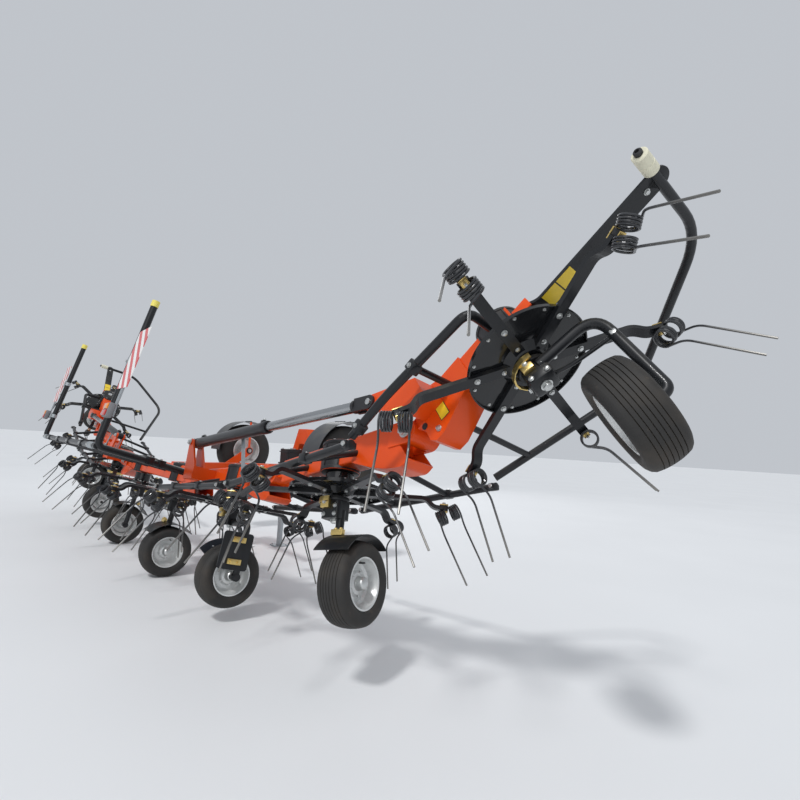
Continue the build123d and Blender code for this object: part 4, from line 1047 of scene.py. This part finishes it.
class TEDDER_OT_rear(bpy.types.Operator):
    """Build the bent rear guard and its lamps"""

    bl_idname = "tedder.rear"
    bl_label = "Rear guard"

    def spot(self, x, up, back=0.0):
        """A place so far up a leaning upright from the rail, and so far behind it."""
        leaning = turn(UPRIGHT_LEAN, "X") @ Vector((0, -back, up))
        return Vector((x, REAR_Y, REAR_Z)) + leaning

    def rail(self, bm):
        """The rail's tube between the uprights, stayed to the beam."""
        add_pipe(bm, [(-1.405, REAR_Y, REAR_Z), (1.405, REAR_Y, REAR_Z)], 0.020, 18)
        for hand in (RIGHT, LEFT):
            for x in (0.3, 0.9):
                add_pipe(bm, [(hand * x, REAR_Y, REAR_Z), (hand * x, -0.066, 0.838)], 0.016, 14)
                add_box(bm, (hand * x, REAR_Y, REAR_Z), (0.050, 0.050, 0.050), 0.005, 0)
                add_bolt(bm, (hand * x, REAR_Y - 0.025, REAR_Z), 0.010, 2, "Y", -1)
            # The rail's galvanised end sleeve
            add_pipe(bm, [(hand * 1.16, REAR_Y, REAR_Z), (hand * 1.345, REAR_Y, REAR_Z)], 0.0235, 18, 1)
            for x in (1.19, 1.315):
                add_bolt(bm, (hand * x, REAR_Y - 0.023, REAR_Z), 0.009, 2, "Y", -1)

    def upright(self, bm, hand):
        """One bent tube, from a spliced stay on the beam's end up to its cap, with its hangers."""
        x, board = hand * UPRIGHT_X, hand * BOARD_X
        root, foot = Vector((hand * 1.060, -0.068, 0.850)), self.spot(x, 0)
        add_pipe(bm, rounded([root, foot, self.spot(x, 1.03)], 0.055, 7), 0.024, 22)
        for share in (0.40, 0.52):
            splice = root.lerp(foot, share)
            facing = turn(hand * 23.6, "Z")
            add_box(bm, splice + Vector((0, 0, 0.004)), (0.058, 0.062, 0.058), 0.006, 0, facing)
            add_bolt(bm, splice + Vector((0, 0, 0.033)), 0.010, 2)
        # Hangers for the board and the lamps, on collars round the upright
        for up in (0.23, 0.60):
            add_pipe(bm, [self.spot(x, up - 0.018), self.spot(x, up + 0.018)], 0.0285, 28, 1)
            hanger = [self.spot(x, up, 0.024), self.spot(hand * 1.66, up, 0.024)]
            add_pipe(bm, hanger, 0, 4, 1, (0.008, 0.060))
            add_bolt(bm, self.spot(x, up, 0.029), 0.009, 2, "Y", -1)
        add_pipe(bm, [self.spot(board, 0.20, 0.024), self.spot(board, 0.80, 0.024)], 0, 4, 1, (0.008, 0.060))

    def execute(self, context):
        bm = bmesh.new()
        self.rail(bm)
        for hand in (RIGHT, LEFT):
            self.upright(bm, hand)
        piece("bent_rear_guard", bm, ["black", "galvanised", "zinc"], "chassis", LEANING,
              ["rear_guard"])
        lean = turn(UPRIGHT_LEAN, "X")
        for hand, name in SIDE.items():
            bm = bmesh.new()
            add_box(bm, self.spot(hand * BOARD_X, 0.23, 0.050), (0.124, 0.040, 0.096), 0.008, 2, lean)
            for up, lens in ((0.252, 0), (0.208, 1)):
                add_box(bm, self.spot(hand * BOARD_X, up, 0.073), (0.110, 0.010, 0.038), 0.004, lens, lean)
            piece(f"lamp_cluster_{name}", bm, ["amber_lens", "red_lens", "lamp_grey"], "chassis",
                  LEANING, ["tail_lamps"] if hand > 0 else ())
        return {"FINISHED"}


class TEDDER_OT_carriage(bpy.types.Operator):
    """Build the transport wheels and dress their arms and mudguards"""

    bl_idname = "tedder.carriage"
    bl_label = "Transport carriage"

    def rim(self, bm):
        """A deep dished rim with rolled lips, six wheel bolts and its cap."""
        add_lathe(bm, [(-0.090, 0.165), (-0.096, 0.172), (-0.099, 0.172), (-0.098, 0.160), (-0.070, 0.154),
                       (-0.020, 0.138), (0.012, 0.138), (0.020, 0.120), (0.034, 0.080), (0.046, 0.066),
                       (0.050, 0.050), (0.050, 0.021), (-0.050, 0.021), (-0.050, 0.050), (0.028, 0.064),
                       (0.012, 0.118), (0.006, 0.142), (-0.020, 0.143), (-0.066, 0.160)], "X", 64, 0, True)
        add_lathe(bm, [(0.090, 0.165), (0.096, 0.172), (0.099, 0.172), (0.098, 0.160), (0.070, 0.154),
                       (0.010, 0.138), (0.006, 0.142), (0.066, 0.160)], "X", 64, 0, True)
        for y, z in arc((0, 0), 0.078, 0, 300, 5):
            add_bolt(bm, (0.034, y, z), 0.010, 1, "X")
        add_disc(bm, (0.052, 0, 0), 0.036, 0.012, 32, 0.004, 1, "X")

    def execute(self, context):
        side = [(-0.090, 0.166), (-0.100, 0.180), (-0.108, 0.215), (-0.110, 0.245), (-0.107, 0.275),
                (-0.098, 0.300), (-0.084, 0.318)]
        tread = (5, 0.080, 0.125, 0.046875, 0.009, 0.075)
        tyre = ribbed_tyre("carriage_tyre", side, (0.080, 0.160), tread, (0.330, 0.010, 0.084, 2), 72)
        bm = bmesh.new()
        self.rim(bm)
        rim = finish_mesh("carriage_rim", bm, ["rim", "zinc"])
        for hand, name in SIDE.items():
            pose = move(hand * CARRIAGE_X, WHEEL_Y, WHEEL_Z) @ turn(0 if hand > 0 else 180, "Z")
            body = f"transport_wheel_{name}"
            copy_placed(tyre, f"carriage_tyre_{name}", pose, body, [f"transport_tyre_{name}"])
            copy_placed(rim, f"carriage_rim_{name}", pose, body, [f"transport_rim_{name}"])
        bm = bmesh.new()
        for hand in (RIGHT, LEFT):
            for y, z in ((PIVOT_Y, PIVOT_Z), (WHEEL_Y, WHEEL_Z)):
                add_disc(bm, (hand * 0.964, y, z), 0.038, 0.014, 32, 0.003, 0, "X")
                add_bolt(bm, (hand * 0.958, y, z), 0.020, 1, "X", -hand)
            for across in (-0.09, 0.09):
                add_bolt(bm, (hand * (CARRIAGE_X + across), WHEEL_Y, WHEEL_Z + 0.369), 0.009, 1)
        piece("carriage_fittings", bm, ["black", "zinc"], "transport_axle")
        return {"FINISHED"}


class TEDDER_OT_headstock(bpy.types.Operator):
    """Dress the headstock, its gearbox, drive guard and parking stand"""

    bl_idname = "tedder.headstock"
    bl_label = "Headstock and stand"

    def shaft(self, bm):
        """The splined stub shaft and the flared guard round it, drawn along X and turned to the front."""
        before = set(bm.faces)
        add_lathe(bm, [(0.0, 0.062), (0.030, 0.066), (0.075, 0.088), (0.078, 0.088), (0.078, 0.084),
                       (0.034, 0.061), (0.004, 0.0585), (0.0, 0.0585)], "X", 40, 3, True)
        put(bm, before, move(0, SHAFT_Y, SHAFT_Z) @ turn(90, "Z"), 3)
        for k in range(6):
            a = math.tau * k / 6
            spline = (0.0175 * math.cos(a), SHAFT_Y + 0.080, SHAFT_Z + 0.0175 * math.sin(a))
            add_box(bm, spline, (0.008, 0.075, 0.008), 0.001, 1, turn(-k * 60, "Y"))

    def gearbox(self, bm):
        """The main gearbox's flanges, cover bolts and filler."""
        for x in (-0.066, 0.066):
            for y in (-0.076, 0.076):
                add_bolt(bm, (x, BOX_Y + y, BOX_TOP), 0.011, 1)
        add_disc(bm, (0, BOX_Y, BOX_TOP + 0.006), 0.022, 0.014, 6, 0.001, 1)
        add_box(bm, (0, BOX_Y, BOX_TOP - 0.030), (0.188, 0.208, 0.012), 0.003, 2)
        add_box(bm, (0, BOX_Y, 0.905), (0.196, 0.216, 0.018), 0.003, 2)

    def execute(self, context):
        bm = bmesh.new()
        self.shaft(bm)
        self.gearbox(bm)
        pin_y = FACE_Y - 0.040
        for hand in (RIGHT, LEFT):
            # Collar and linch pin on a lower link's pin, bolts in the plates, and the top link's washer
            add_disc(bm, (hand * 0.416, pin_y, 0.560), 0.034, 0.010, 32, 0.002, 1, "X")
            add_disc(bm, (hand * 0.492, pin_y, 0.560), 0.0025, 0.050, 8, 0, 1)
            for x, z, size in ((0.120, 0.850, 0.013), (0.120, 0.780, 0.013), (0.070, 1.180, 0.012),
                               (0.330, 0.640, 0.012)):
                add_bolt(bm, (hand * x, FACE_Y, z), size, 1, "Y")
            add_disc(bm, (hand * 0.044, FACE_Y + 0.045, 1.260), 0.020, 0.006, 24, 0.001, 1, "X")
        piece("headstock_fittings", bm, ["orange", "zinc", "casting", "dark_plastic"], "chassis")
        bm = bmesh.new()
        add_disc(bm, (0, STAND_Y, 0.300), 0.034, 0.040, 28, 0.003, 0)
        for x in (-0.055, 0.055):
            for y in (-0.055, 0.055):
                add_bolt(bm, (x, STAND_Y + y, 0.010), 0.009, 0)
        piece("stand_fittings", bm, ["galvanised"], "parking_stand")
        return {"FINISHED"}


class TEDDER_OT_stage(bpy.types.Operator):
    """Lay the floor, light the machine and set the camera"""

    bl_idname = "tedder.stage"
    bl_label = "Stage"

    def execute(self, context):
        view = context.scene.tedder_view
        scene = context.scene
        scene.view_settings.view_transform = "Standard"
        floor = Finish("Pale studio floor", (0.74, 0.75, 0.76), 0.65)
        soft = floor.noise(0.6, 2.0)
        floor.set("Base Color", floor.mix(soft, (0.71, 0.72, 0.73, 1), (0.77, 0.78, 0.79, 1)))
        bm = bmesh.new()
        bmesh.ops.create_grid(bm, x_segments=2, y_segments=2, size=120)
        mesh = bpy.data.meshes.new("studio_floor")
        bm.to_mesh(mesh)
        bm.free()
        mesh.materials.append(floor.material)
        ground = bpy.data.objects.new("studio_floor", mesh)
        scene.collection.objects.link(ground)
        world = bpy.data.worlds.new("studio") if scene.world is None else scene.world
        scene.world = world
        world.use_nodes = True
        sky = world.node_tree.nodes["Background"]
        sky.inputs[0].default_value = (0.80, 0.84, 0.90, 1)
        sky.inputs[1].default_value = 0.66
        for name, kind, energy, place, size in (
            ("key", "SUN", 1.6, (4.0, -6.0, 9.0), 0.12),
            ("fill", "AREA", 120.0, (7.5, -6.5, 4.5), 6.0),
            ("rim", "AREA", 140.0, (-6.0, 7.0, 6.0), 6.0),
        ):
            data = bpy.data.lights.new(name, kind)
            data.energy = energy
            if kind == "SUN":
                data.angle = size
            else:
                data.size = size
            lamp = bpy.data.objects.new(name, data)
            lamp.location = place
            lamp.rotation_mode = "QUATERNION"
            lamp.rotation_quaternion = (Vector((1.5, 0, 0.7)) - Vector(place)).to_track_quat("-Z", "Y")
            scene.collection.objects.link(lamp)
        az, el, roll = view.azimuth, view.elevation, view.roll
        look = Vector((-math.sin(az) * math.cos(el), math.cos(az) * math.cos(el), math.sin(el)))
        across = look.cross(Vector((0, 0, 1))).normalized()
        above = across.cross(look)
        right = math.cos(roll) * across + math.sin(roll) * above
        up = -math.sin(roll) * across + math.cos(roll) * above
        level = Matrix((right, up, -look)).transposed().to_4x4()
        data = bpy.data.cameras.new("photo_view")
        data.sensor_width = 36.0
        data.lens = view.lens
        data.clip_end = 400.0
        camera = bpy.data.objects.new("photo_view", data)
        camera.matrix_world = LEANING @ Matrix.Translation(view.eye) @ level
        scene.collection.objects.link(camera)
        scene.camera = camera
        return {"FINISHED"}


STEPS = ("finishes", "rotors", "wheels", "leg_fittings", "beam_fittings", "cylinders", "rails", "rear",
         "carriage", "headstock", "stage")


class TEDDER_PT_panel(bpy.types.Panel):
    """Sizes and colours, and a button for each group of pieces"""

    bl_label = "Hay tedder"
    bl_idname = "TEDDER_PT_panel"
    bl_space_type = "VIEW_3D"
    bl_region_type = "UI"
    bl_category = "Tedder"

    def draw(self, context):
        column = self.layout.column()
        for group in ("tedder_colours", "tedder_rotors", "tedder_wheels", "tedder_view"):
            settings = getattr(context.scene, group)
            for key in settings.__annotations__:
                column.prop(settings, key)
        for step in STEPS:
            column.operator(f"tedder.{step}")


GROUPS = {
    "tedder_colours": TedderColours,
    "tedder_rotors": TedderRotors,
    "tedder_wheels": TedderWheels,
    "tedder_view": TedderView,
}
CLASSES = (
    *GROUPS.values(), TEDDER_OT_finishes, TEDDER_OT_rotors, TEDDER_OT_wheels, TEDDER_OT_leg_fittings,
    TEDDER_OT_beam_fittings, TEDDER_OT_cylinders, TEDDER_OT_rails, TEDDER_OT_rear, TEDDER_OT_carriage,
    TEDDER_OT_headstock, TEDDER_OT_stage, TEDDER_PT_panel,
)


def register():
    for cls in CLASSES:
        bpy.utils.register_class(cls)
    for name, group in GROUPS.items():
        setattr(bpy.types.Scene, name, PointerProperty(type=group))


def unregister():
    for name in GROUPS:
        delattr(bpy.types.Scene, name)
    for cls in reversed(CLASSES):
        bpy.utils.unregister_class(cls)


def main():
    register()
    for step in STEPS:
        getattr(bpy.ops.tedder, step)()


if __name__ == "__main__":
    main()
